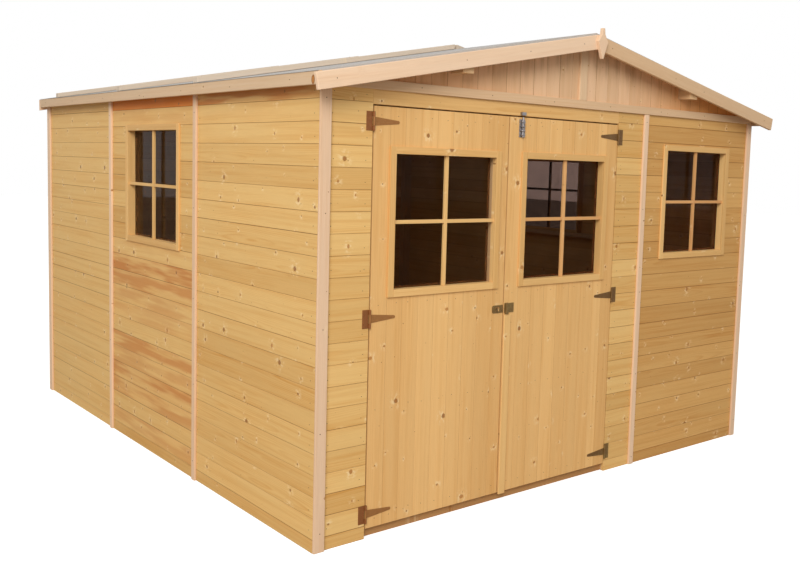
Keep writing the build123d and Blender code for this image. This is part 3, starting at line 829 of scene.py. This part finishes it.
for side, sign in (("left", -1), ("right", 1)):
    base = DECK_TOP - DECK_RISE - ROOF_SLOPE * RIDGE_GAP
    pattern = sloped(
        (sign * RIDGE_GAP, sign * DECK_EAVE),
        (DECK_FRONT, DECK_FRONT + DECK_STEP - 0.0002),
        (base, base + DECK_RISE),
        ROOF_SLOPE,
    )
    boards = []
    count = math.ceil((DECK_BACK - DECK_FRONT) / DECK_STEP)
    for index in range(count):
        board = copy_of(pattern, (0, index * DECK_STEP, 0))
        if index == count - 1:
            saw(board, (0, DECK_BACK, 0), ALONG_Y)
        boards.append(slope_grain(ease(board, 0.001), sign, ROOF_SLOPE))
    discard(pattern)
    build(f"{side}_roof_boards", boards, roof_boards, "bare_framing", f"roof_deck_{side}")


SHEET_THICK = 0.0013
# Where each width of felt starts and ends, and how high it lies over the boards
SHEETS = (
    (BARGE_BACK, -0.652, 0.0001),
    (-0.688, 0.308, 0.0015),
    (0.272, 1.328, 0.0001),
    (1.292, DECK_BACK, 0.0015),
)


def felt_sheet(start, end, lift):
    """One width of felt over both slopes, which reaches a little past the eaves boards."""
    rise = DECK_TOP + lift
    half = bar((0, FELT_EAVE), (start, end), (rise - 0.001, rise))
    pick(half, lambda middle, normal: normal.z < 0.5, "FACE")
    bpy.ops.mesh.delete(type="FACE")
    close()
    lower_end(half, 0, FELT_EAVE / 2, ROOF_SLOPE * FELT_EAVE)
    shape(half, "MIRROR")
    return shape(half, "SOLIDIFY", thickness=SHEET_THICK, offset=1)


def felt_hem(sign):
    """The felt turned down over the front edge of the roof boards."""
    heights = (DECK_TOP - DECK_RISE, DECK_TOP)
    depth = (BARGE_BACK + 0.0005, DECK_FRONT - 0.0002)
    return sloped((0, sign * DECK_EAVE), depth, heights, ROOF_SLOPE)


sheets = [felt_sheet(*sheet) for sheet in SHEETS] + [felt_hem(sign) for sign in (-1, 1)]
build("felt_sheets", sheets, felt, "roofing_felt", "roof_felt")

SLANT = math.sqrt(1 + ROOF_SLOPE**2)
LATH_TOP = DECK_TOP + (FELT + LATH_THICK) * SLANT
LATH_HALF = 0.0225
LATH_START = 0.008
laths = []
for place in LATH_PLACES:
    for sign in (-1, 1):
        drop = ROOF_SLOPE * LATH_START
        base = DECK_TOP + FELT * SLANT
        x = (sign * LATH_START, sign * FELT_EAVE)
        lath = sloped(x, about(place, LATH_HALF), (base - drop, LATH_TOP - drop), ROOF_SLOPE)
        laths.append(slope_grain(ease(lath, 0.002, 2), sign, ROOF_SLOPE))
build("roof_laths", laths, lath_wood, "pale_trim", "felt_laths")

BARGE_TIP = (1.553, 1.903)
BARGE_RIDGE = 2.214
BARGE_HEIGHT = 0.069
BARGE_THICK = 0.018
BARGE_GAP = 0.0005
BARGE_SLOPE = (BARGE_RIDGE - BARGE_TIP[1]) / BARGE_TIP[0]


def barge_board(sign, end, y, ridge, slope):
    """One bargeboard, from the ridge down to its end."""
    top = ridge - slope * BARGE_GAP
    return sloped((sign * BARGE_GAP, sign * end), y, (top - BARGE_HEIGHT, top), slope)


barges = []
rear_barges = []
for sign in (-1, 1):
    barge = barge_board(sign, BARGE_TIP[0], (BARGE_FRONT, BARGE_BACK), BARGE_RIDGE, BARGE_SLOPE)
    saw(barge, (sign * BARGE_TIP[0], 0, BARGE_TIP[1]), (sign, 0, -BARGE_SLOPE))
    barges.append(slope_grain(ease(barge, 0.0025, 2), sign, BARGE_SLOPE))
    depth = (DECK_BACK, DECK_BACK + BARGE_THICK)
    rear = barge_board(sign, FASCIA_FACE, depth, DECK_TOP, ROOF_SLOPE)
    rear_barges.append(slope_grain(ease(rear, 0.0025, 2), sign, ROOF_SLOPE))
build("left_front_barge", barges[:1], pale_trim, "pale_trim", "front_bargeboards")
# The right bargeboard takes the darker trim and the left one the pale trim: painted shade on the right
build("right_front_barge", barges[1:], front_trim, "pale_trim")
build("rear_barge", rear_barges, pale_trim, "pale_trim", "back_bargeboards")

# Finial: half its width at each height
FINIAL = {2.101: 0.004, 2.182: 0.033, 2.216: 0.011, 2.245: 0.007}
FINIAL_AT = 0.014
FINIAL_HALF = 0.011
foot, *bends, tip = FINIAL
across = about(FINIAL_AT, FINIAL_HALF)
spear = bar(across, (BARGE_FRONT - BARGE_THICK, BARGE_FRONT), (foot, tip))
take(spear)
bpy.ops.object.mode_set(mode="EDIT")
for height in bends:
    bpy.ops.mesh.select_all(action="SELECT")
    bpy.ops.mesh.bisect(plane_co=(0, 0, height), plane_no=UP)
close()
for height, half in FINIAL.items():
    pick(spear, lambda point: abs(point.z - height) < 0.001)
    scale = (half / FINIAL_HALF, 1, 1)
    bpy.ops.transform.resize(value=scale, center_override=(FINIAL_AT, 0, height))
    close()
mark_grain(ease(spear, 0.0015, 2), UP, ALONG_X)
build("ridge_finial", [spear], pale_trim, "pale_trim", "finial")


# Windows: casing, lining and glazing bars, built in the wall's own directions
def window_part(across, depth, height, upright, axis, rounding):
    """One length of window timber, in a wall that faces along an axis."""
    level = ALONG_X if axis == "Y" else ALONG_Y
    spans = (across, depth, height) if axis == "Y" else (depth, across, height)
    ways = (UP, level) if upright else (level, UP)
    return strip(*spans, *ways, rounding)


def window_joinery(light, face, wall, inside, axis):
    """Casing boards round the opening, and a lining through the wall."""
    left, right, low, high = light
    parts = []
    for depth, width in (((face, wall), CASING), ((wall, inside), LINING)):
        tall = (low - width, high + width)
        for across, height, upright in (
            ((left - width, left), tall, True),
            ((right, right + width), tall, True),
            ((left, right), (low - width, low), False),
            ((left, right), (high, high + width), False),
        ):
            parts.append(window_part(across, depth, height, upright, axis, 0.0016))
    return parts


# How deep the glazing bars and the beads lie in a window, and their widths
BAR_DEPTH = (0.003, 0.016)
BEAD_DEPTH = (0.0381, 0.0435)
BEAD = 0.009
BAR_HALF_WIDTH = 0.009
BAR_HALF_HEIGHT = 0.008


def glazing_bars(light, wall, sign, axis):
    """A cross of slim bars in the opening, and the beads that hold the glass from inside."""
    left, right, low, high = light
    post = about((left + right) / 2, BAR_HALF_WIDTH)
    level = about((low + high) / 2, BAR_HALF_HEIGHT)
    between_beads = (left + BEAD, right - BEAD)
    bars = []
    for near_far, across, height, upright in (
        (BAR_DEPTH, post, (low, high), True),
        (BAR_DEPTH, (left, post[0]), level, False),
        (BAR_DEPTH, (post[1], right), level, False),
        (BEAD_DEPTH, (left, left + BEAD), (low, high), True),
        (BEAD_DEPTH, (right - BEAD, right), (low, high), True),
        (BEAD_DEPTH, between_beads, (low, low + BEAD), False),
        (BEAD_DEPTH, between_beads, (high - BEAD, high), False),
    ):
        depth = [wall + sign * value for value in near_far]
        bars.append(window_part(across, depth, height, upright, axis, 0.0015))
    return bars


def window(node, light, planes, axis, body, finish):
    """One window: joinery and bars that stand for its frame."""
    face, wall, inside = planes
    sign = math.copysign(1, inside - wall)
    joinery = window_joinery(light, face, wall, inside, axis)
    build(node + "_joinery", joinery, honey_joinery, "honey_joinery", node, body=body)
    bars = glazing_bars(light, wall, sign, axis)
    build(node + "_bars", bars, finish, "honey_joinery", body=body)


FRAME_SIDE_IN = SIDE_IN - FRAME_DEPTH
front_face = FRONT - CASING_PROUD
front_planes = (front_face, FRONT, FRONT_IN + FRAME_DEPTH)
door_planes = (front_face, FRONT, LEAF_BACK)
for side, sign in (("left", -1), ("right", 1)):
    planes = (sign * (SIDE + CASING_PROUD), sign * SIDE, sign * FRAME_SIDE_IN)
    window(f"{side}_window_frame", SIDE_LIGHT, planes, "X", "shed", honey_joinery)
window("front_window_frame", FRONT_LIGHT, front_planes, "Y", "shed", bar_wood)
window("left_door_window_frame", LEFT_LIGHT, door_planes, "Y", "left_door", honey_joinery)
window("right_door_window_frame", RIGHT_LIGHT, door_planes, "Y", "right_door", bar_wood)


# Doors: upright boards on a frame of ledges. Each has its leaf, the seams in it and its window
LEFT_SEAMS = (-1.137, -1.058, -0.972, -0.888, -0.802, -0.719, -0.636, -0.544)
RIGHT_SEAMS = (-0.382, -0.296, -0.209, -0.122, -0.035, 0.052, 0.139, 0.203)
DOORS = {
    "left": (LEFT_LEAF, LEFT_SEAMS, LEFT_LIGHT),
    "right": (RIGHT_LEAF, RIGHT_SEAMS, RIGHT_LIGHT),
}
DOOR_GROOVE = 0.0005
LEDGE_WIDTH = 0.07
LEDGE_INSET = 0.006


def board_spans(leaf, seams):
    """Where each upright board of a door starts and ends."""
    edges = [leaf[0], *seams, leaf[1]]
    return list(zip(edges, edges[1:]))


def door_boarding(leaf, seams, light):
    """The upright boards of one door with its window cut out."""
    grown = grow_light(light)
    cutter = bar(grown[0], (FRONT - THROUGH, FRONT_IN + THROUGH), grown[1])
    boards = []
    for start, end in board_spans(leaf, seams):
        board = bar((start + GAP, end - GAP), (FRONT, FRONT_IN), DOOR_HEIGHTS)
        groove(board, 2, 1, FRONT, DOOR_GROOVE)
        if end > grown[0][0] and start < grown[0][1]:
            cut_out(board, cutter)
        boards.append(mark_grain(board, UP, ALONG_X))
    discard(cutter)
    return boards


def door_ledges(leaf, light):
    """Two stiles and the ledges between them, behind a door's boards."""
    left, right = leaf[0] + LEDGE_INSET, leaf[1] - LEDGE_INSET
    low, high = DOOR_HEIGHTS[0] + LEDGE_INSET, DOOR_HEIGHTS[1] - LEDGE_INSET
    inner = (left + LEDGE_WIDTH, right - LEDGE_WIDTH)
    (light_left, light_right), (sill, lintel) = grow_light(light)
    spans = [
        ((left, inner[0]), (low, high), True),
        ((inner[1], right), (low, high), True),
        (inner, (low, low + LEDGE_WIDTH), False),
        (inner, about((low + light[2]) / 2, LEDGE_WIDTH / 2), False),
        (inner, (sill - LEDGE_WIDTH, sill), False),
        (inner, (lintel, lintel + LEDGE_WIDTH / 2), False),
        (inner, (high - LEDGE_WIDTH, high), False),
    ]
    for edge, side in ((inner[0], light_left), (light_right, inner[1])):
        if side - edge > 0.002:
            spans.append(((edge, side), (sill, lintel), True))
    parts = []
    for across, height, upright in spans:
        way = (UP, ALONG_X) if upright else (ALONG_X, UP)
        parts.append(mark_grain(ease(bar(across, (FRONT_IN, LEAF_BACK), height), 0.002), *way))
    return parts


for side, (leaf, seams, light) in DOORS.items():
    door = {"body": f"{side}_door"}
    boards = door_boarding(leaf, seams, light)
    build(f"{side}_door_boards", boards, door_boards, "honey_boarding", f"{side}_door_leaf", **door)
    ledges = door_ledges(leaf, light)
    build(f"{side}_door_frame", ledges, roof_boards, "bare_framing", f"{side}_door_ledges", **door)

MEETING = ((-0.469, -0.429), (FRONT - 0.008, FRONT), (0.034, 0.892))
meeting = [strip(*MEETING, UP, ALONG_X, 0.0018)]
right_door = {"body": "right_door"}
build("door_meeting_strip", meeting, honey_joinery, "honey_joinery", "meeting_strip", **right_door)


# Floor boards run from the front to the back over the bearers
PLANKS = 24
FLOOR_SIDE = FRAME_SIDE_IN - 0.002
FLOOR_ENDS = (FRONT_IN + FRAME_DEPTH + 0.002, BACK_IN - FRAME_DEPTH - 0.002)
FLOOR_HEIGHTS = (0.028, 0.044)
FLOOR_STEP = 2 * FLOOR_SIDE / PLANKS
PLANK_GAP = 0.0003
plank_span = (-FLOOR_SIDE + PLANK_GAP, -FLOOR_SIDE + FLOOR_STEP - PLANK_GAP)
pattern = ease(bar(plank_span, FLOOR_ENDS, FLOOR_HEIGHTS), 0.0015)
planks = []
for index in range(PLANKS):
    planks.append(mark_grain(copy_of(pattern, (index * FLOOR_STEP, 0, 0)), ALONG_Y, ALONG_X))
discard(pattern)
build("floor_planks", planks, roof_boards, "bare_framing", "floor")


# Hinges and door furniture
BRONZE = "bronze_metal"
ZINC = "zinc_metal"
HINGE_HEIGHTS = (0.106, 0.934, 1.741)
PIN_Y = FRONT - 0.0055
METAL_FACE = FRONT - 0.002
KNUCKLE_RADIUS = 0.0045
BORE_RADIUS = 0.0026
PIN_RADIUS = 0.0025
WEB_DEPTH = (PIN_Y - 0.002, FRONT - 0.0002)
PLATE_HALF = 0.039
PLATE_WIDTH = 0.03
PLATE_SCREWS = ((0.01, -0.029), (0.022, -0.017), (0.015, 0.0), (0.01, 0.029), (0.022, 0.017))
STRAP_HALF = 0.018
STRAP_LENGTH = 0.13
STRAP_SCREWS = (0.02, 0.062, 0.104)


def screw_head(x, y, z, radius=0.0032):
    """A flat screw head that faces the front, with a straight slot."""
    head = rod((x, y - 0.0003, z), radius, 0.0012, "Y", 14)
    return bore(head, bar(about(x, radius * 0.8), (y - 0.002, y - 0.0003), about(z, 0.0004)))


def knuckle(x, low, high, hollow=False):
    """A rolled knuckle on the pin's line."""
    middle = (x, PIN_Y, (low + high) / 2)
    barrel = ease(rod(middle, KNUCKLE_RADIUS, high - low, "Z", 24), 0.0005)
    if hollow:
        bore(barrel, rod(middle, BORE_RADIUS, high - low + 0.01, "Z", 20))
    return barrel


def wall_plate(x, sign, height):
    """The fixed half of a tee hinge."""
    low, high = about(height, PLATE_HALF)
    edge = x + sign * 0.0051
    plate = bar((edge, edge + sign * PLATE_WIDTH), (METAL_FACE, FRONT), (low, high))
    parts = [ease(plate, 0.0008, 2), rod((x, PIN_Y, height), PIN_RADIUS, 2 * PLATE_HALF, "Z", 16)]
    for start, end in ((low, height - 0.0186), (height + 0.0186, high)):
        parts.append(knuckle(x, start, end))
        web = (x + sign * 0.0025, edge + sign * 0.001)
        parts.append(bar(web, WEB_DEPTH, (start + 0.0005, end - 0.0005)))
    for across, lift in PLATE_SCREWS:
        parts.append(screw_head(edge + sign * across, METAL_FACE, height + lift))
    return parts


def door_strap(x, sign, height):
    """The moving half of a tee hinge, tapered to a rounded tip."""
    start = x - sign * 0.00375
    tip = x - sign * STRAP_LENGTH

    def at_tip(*points):
        return all(abs(point.x - tip) < 0.001 for point in points)

    strap = bar((start, tip), (METAL_FACE, FRONT), about(height, STRAP_HALF))
    pick(strap, at_tip)
    bpy.ops.transform.resize(value=(1, 1, 1 / 3), center_override=(tip, FRONT, height))
    close()
    pick(strap, lambda a, b: at_tip(a, b) and abs(a.y - b.y) > 0.001, "EDGE")
    bpy.ops.mesh.bevel(offset=0.0055, segments=4, affect="EDGES")
    close()
    parts = [ease(strap, 0.0005), knuckle(x, *about(height, STRAP_HALF), True)]
    web = (x - sign * 0.0031, start - sign * 0.001)
    parts.append(bar(web, WEB_DEPTH, about(height, STRAP_HALF - 0.0005)))
    for across in STRAP_SCREWS:
        parts.append(screw_head(x - sign * across, METAL_FACE, height))
    return parts


HINGES = (
    ("left", -1.22325, -1, red_bronze, warm_bronze),
    ("right", 0.28425, 1, olive_bronze, olive_bronze),
)

for side, x, sign, plate_finish, strap_finish in HINGES:
    plates = []
    straps = []
    for height in HINGE_HEIGHTS:
        plates += wall_plate(x, sign, height)
        straps += door_strap(x, sign, height)
    build(f"{side}_hinge_leaves", plates, plate_finish, BRONZE, f"{side}_hinge_plates")
    nodes = (f"{side}_door_straps",)
    build(f"{side}_hinge_straps", straps, strap_finish, BRONZE, *nodes, body=f"{side}_door")

# Tower bolt: a slotted back plate, the rod in four loops, and a keeper on the doorway's head
BOLT_X = -0.394
ROD_Y = FRONT - 0.007
LOOP_FACE = FRONT - 0.015
BOLT_METAL = FRONT - 0.003

slots = []
for across in (-0.0135, 0.0135):
    for index in range(5):
        x, z = BOLT_X + across, 1.7225 + index * 0.0153
        slots.append(bar(about(x, 0.002), about(FRONT, 0.01), about(z, 0.0042)))
back_plate = ease(bar(about(BOLT_X, 0.018), (BOLT_METAL, FRONT), (1.712, 1.794)), 0.0008, 2)
bore(back_plate, assemble("slot_punch", slots))
bolt = [back_plate, rod((BOLT_X, ROD_Y, 1.7575), 0.005, 0.091, "Z", 24)]
for middle in (1.721, 1.741, 1.761, 1.781):
    depth = (LOOP_FACE, BOLT_METAL + 0.0005)
    bolt.append(ease(bar(about(BOLT_X, 0.01), depth, about(middle, 0.004)), 0.0022, 3))
bolt.append(ease(bar(about(BOLT_X, 0.004), (LOOP_FACE, ROD_Y), (1.747, 1.755)), 0.0015, 2))
build("tower_bolt", bolt, bright_zinc, ZINC, "door_bolt", **right_door)

keeper = ease(bar(about(BOLT_X, 0.013), (LOOP_FACE, FRONT), (1.811, 1.826)), 0.001, 2)
bore(keeper, rod((BOLT_X, ROD_Y, 1.8185), 0.006, 0.03, "Z", 24))
build("bolt_staple", [keeper], bright_zinc, ZINC, "bolt_keeper")

# Hasp: a plate that is slotted over a staple on the left door, and a flanged catch on the right
HASP_FACE = FRONT - 0.003
HASP_PROUD = FRONT - 0.013
HASP_HEIGHT = 0.92
hasp = bar((-0.543, -0.477), (HASP_FACE, FRONT), (0.902, 0.938))
pick(hasp, lambda a, b: a.x < -0.54 and b.x < -0.54 and abs(a.y - b.y) > 0.001, "EDGE")
bpy.ops.mesh.bevel(offset=0.009, segments=5, affect="EDGES")
close()
ease(hasp, 0.0008, 2)
bore(hasp, bar((-0.524, -0.498), about(FRONT, 0.01), (0.91, 0.93)))
staple = ease(bar((-0.522, -0.514), (HASP_PROUD, FRONT), (0.912, 0.928)), 0.003, 3)
bore(staple, rod((-0.518, FRONT - 0.0085, HASP_HEIGHT), 0.0042, 0.02, "X", 20))
pivot = rod((-0.485, HASP_FACE - 0.0005, HASP_HEIGHT), 0.006, 0.003, "Y", 20)
hasp_parts = [hasp, staple, ease(pivot, 0.0008, 2), screw_head(-0.535, HASP_FACE, 0.916)]
build("hasp_plate", hasp_parts, olive_bronze, BRONZE, "left_latch_plate", body="left_door")

catch = ease(bar((-0.467, -0.408), (HASP_FACE, FRONT), (0.9, 0.944)), 0.001, 2)
flange = ease(bar((-0.464, -0.448), (HASP_PROUD, FRONT), (0.894, 0.946)), 0.0015, 2)
catch_parts = [catch, flange]
for across, height in ((-0.434, 0.909), (-0.434, 0.935), (-0.416, 0.922)):
    catch_parts.append(screw_head(across, HASP_FACE, height))
build("hasp_catch", catch_parts, olive_bronze, BRONZE, "right_latch_plate", **right_door)


# Nails: one small head, copied to every place, sunk almost flush
def nails(axis, spots, radius=0.0021):
    """Nail heads with few faces at many places."""
    pattern = rod((0, 0, 0), radius, 0.0014, axis, 8)
    heads = [copy_of(pattern, spot) for spot in spots]
    discard(pattern)
    return heads


def near(value, room=0.004):
    """A value a little off, as nails by hand are."""
    return value + random.uniform(-room, room)


def in_board(low, top):
    """The height of a nail in the board that starts at a height."""
    return near(min(low + 0.03, top - 0.02))


NAIL_INSET = 0.031
STRIP_NAILS = (0.07, 0.49, 0.91, 1.35, 1.8)

side_nails = []
for sign in (-1, 1):
    spots = []
    for start, end in PANELS.values():
        for low in courses(SIDE_TOP)[1:]:
            for y in (start + NAIL_INSET, end - NAIL_INSET):
                spots.append((sign * SIDE, near(y), in_board(low, SIDE_TOP)))
    side_nails += nails("X", spots, 0.0016)
    spots = []
    for y in (*SIDE_JOINTS, BACK - 0.025):
        for height in STRIP_NAILS:
            spots.append((sign * (SIDE + STRIP_THICK), near(y), near(height, 0.03)))
    for index in range(7):
        y = near(-1.52 + index * 0.51, 0.03)
        spots.append((sign * FASCIA_FACE, y, near(1.885, 0.006)))
    side_nails += nails("X", spots)
build("side_nails", side_nails, nail_steel, BRONZE)

spots = []
for span, _ in FRONT_PANELS.values():
    inner = (max(span[0] + NAIL_INSET, -1.414), min(span[1] - 0.029, 1.416))
    for low in courses(FRONT_TOP)[1:]:
        for x in inner:
            spots.append((near(x), FRONT, in_board(low, FRONT_TOP)))
front_nails = nails("Y", spots, 0.0016)
spots = []
for x in (-1.452, FRONT_JOINT, 1.449):
    for height in STRIP_NAILS:
        spots.append((near(x), FRONT - STRIP_THICK, near(height, 0.03)))
for index in range(8):
    x = near(-1.4 + index * 0.4, 0.02)
    spots.append((x, FRONT - STRIP_THICK, near(1.888, 0.006)))
for x in (-1.46, -0.82, -0.449, -0.1, 0.1, 0.61, 0.86, 1.46):
    spots.append((x, BARGE_FRONT, BARGE_RIDGE - BARGE_SLOPE * abs(x) - 0.034))
front_nails += nails("Y", spots)
spots = []
around = [x for joint in BACK_JOINTS for x in about(joint, NAIL_INSET)]
for x in (-1.44, *around, 1.44):
    for low in courses(FRONT_TOP)[1:]:
        spots.append((near(x), BACK, in_board(low, FRONT_TOP)))
for x in BACK_JOINTS:
    for height in STRIP_NAILS:
        spots.append((near(x), BACK + STRIP_THICK, near(height, 0.03)))
back_nails = nails("Y", spots, 0.0018)
build("front_nails", front_nails, nail_steel, BRONZE)
build("back_nails", back_nails, nail_steel, BRONZE)

spots = []
for place in LATH_PLACES:
    for sign in (-1, 1):
        for x in (0.06, 0.42, 0.78, 1.14, 1.5):
            spots.append((sign * x, near(place), LATH_TOP - ROOF_SLOPE * x))
build("lath_nails", nails("Z", spots), nail_steel, BRONZE)

for side, (leaf, seams, light) in DOORS.items():
    spots = []
    for start, end in board_spans(leaf, seams):
        for height in (0.085, 0.55, 0.99, 1.765):
            spots.append((near((start + end) / 2, 0.012), FRONT, near(height, 0.006)))
    heads = nails("Y", spots, 0.0015)
    build(f"{side}_door_nails", heads, nail_steel, BRONZE, body=f"{side}_door")

# Parts that keep their solids
dress("wall_studs", stud_wood)
dress("wall_rails", rail_wood)
dress("roof_beams", beam_wood)
dress("floor_bearers", rail_wood)
# The sill takes the darker wood: painted shade
dress("door_sill", sill_wood)
for node in ("left_door_glass", "right_door_glass", "wall_window_glass"):
    dress(node, glass)


# Floor, light and camera
def pale_floor():
    """A wide pale floor that keeps the shed's shadow."""
    nothing_selected()
    bpy.ops.mesh.primitive_plane_add(size=60, location=(0, 0, -0.001))
    ground = bpy.context.object
    ground.name = "studio_floor"
    finish, shader = new_finish("floor_white")
    seen = put("LightPath", {}).outputs["Is Camera Ray"]
    feed(shader, {
        "Base Color": blend(seen, (0.45, 0.42, 0.38), (0.86, 0.86, 0.86)),
        "Roughness": 0.9,
        "Specular IOR Level": 0.1,
        "Emission Color": (1, 1, 1, 1),
        "Emission Strength": times(seen, 0.62),
    })
    ground.data.materials.append(finish)


def sky():
    """Even light from all round, and white behind the shed."""
    world = bpy.data.worlds.new("studio")
    bpy.context.scene.world = world
    world.use_nodes = True
    nodes = work_on(world.node_tree)
    light = nodes["Background"]
    feed(light, {"Color": (1.0, 0.985, 0.965, 1), "Strength": 0.45})
    white = put("Background", {"Color": (1, 1, 1, 1), "Strength": 1.0})
    rays = put("LightPath", {}).outputs
    straight = calc("MAXIMUM", rays["Is Camera Ray"], rays["Is Transmission Ray"])
    seen = calc("MAXIMUM", straight, rays["Is Glossy Ray"])
    both = put("MixShader", {0: seen, 1: light.outputs[0], 2: white.outputs[0]})
    feed(nodes["World Output"], {"Surface": both.outputs[0]})


def soft_lamp(name, place, aim, power, size, colour=(1.0, 0.985, 0.96)):
    """A large soft lamp that points at a spot on the shed."""
    lamp = bpy.data.lights.new(name, "AREA")
    lamp.energy = power
    lamp.size = size
    lamp.color = colour
    holder = bpy.data.objects.new(name, lamp)
    bpy.context.collection.objects.link(holder)
    holder.location = place
    holder.rotation_euler = (Vector(aim) - Vector(place)).to_track_quat("-Z", "Y").to_euler()


pale_floor()
sky()
soft_lamp("key", (-9.2, -9.7, 8.2), (0, -0.5, 1.0), 1530, 7.5)
soft_lamp("room", (0, 0.2, 1.95), (0, 0.2, 0), 5.5, 1.6, (0.72, 0.88, 1.0))

camera = bpy.data.cameras.new("camera")
camera.lens = 41.985
camera.sensor_width = 36
camera.sensor_fit = "HORIZONTAL"
camera.shift_x = -0.0875
camera.shift_y = -0.0444
eye = bpy.data.objects.new("camera", camera)
bpy.context.collection.objects.link(eye)
rightwards = (0.75686, -0.65282, 0.03156)
upwards = (0.03635, 0.09025, 0.99526)
backwards = (-0.65257, -0.75212, 0.09204)
turn = Matrix((rightwards, upwards, backwards)).transposed().to_4x4()
eye.matrix_world = Matrix.Translation((-3.401, -4.787, 1.574)) @ turn
bpy.context.scene.camera = eye
bpy.context.scene.view_settings.view_transform = "Standard"
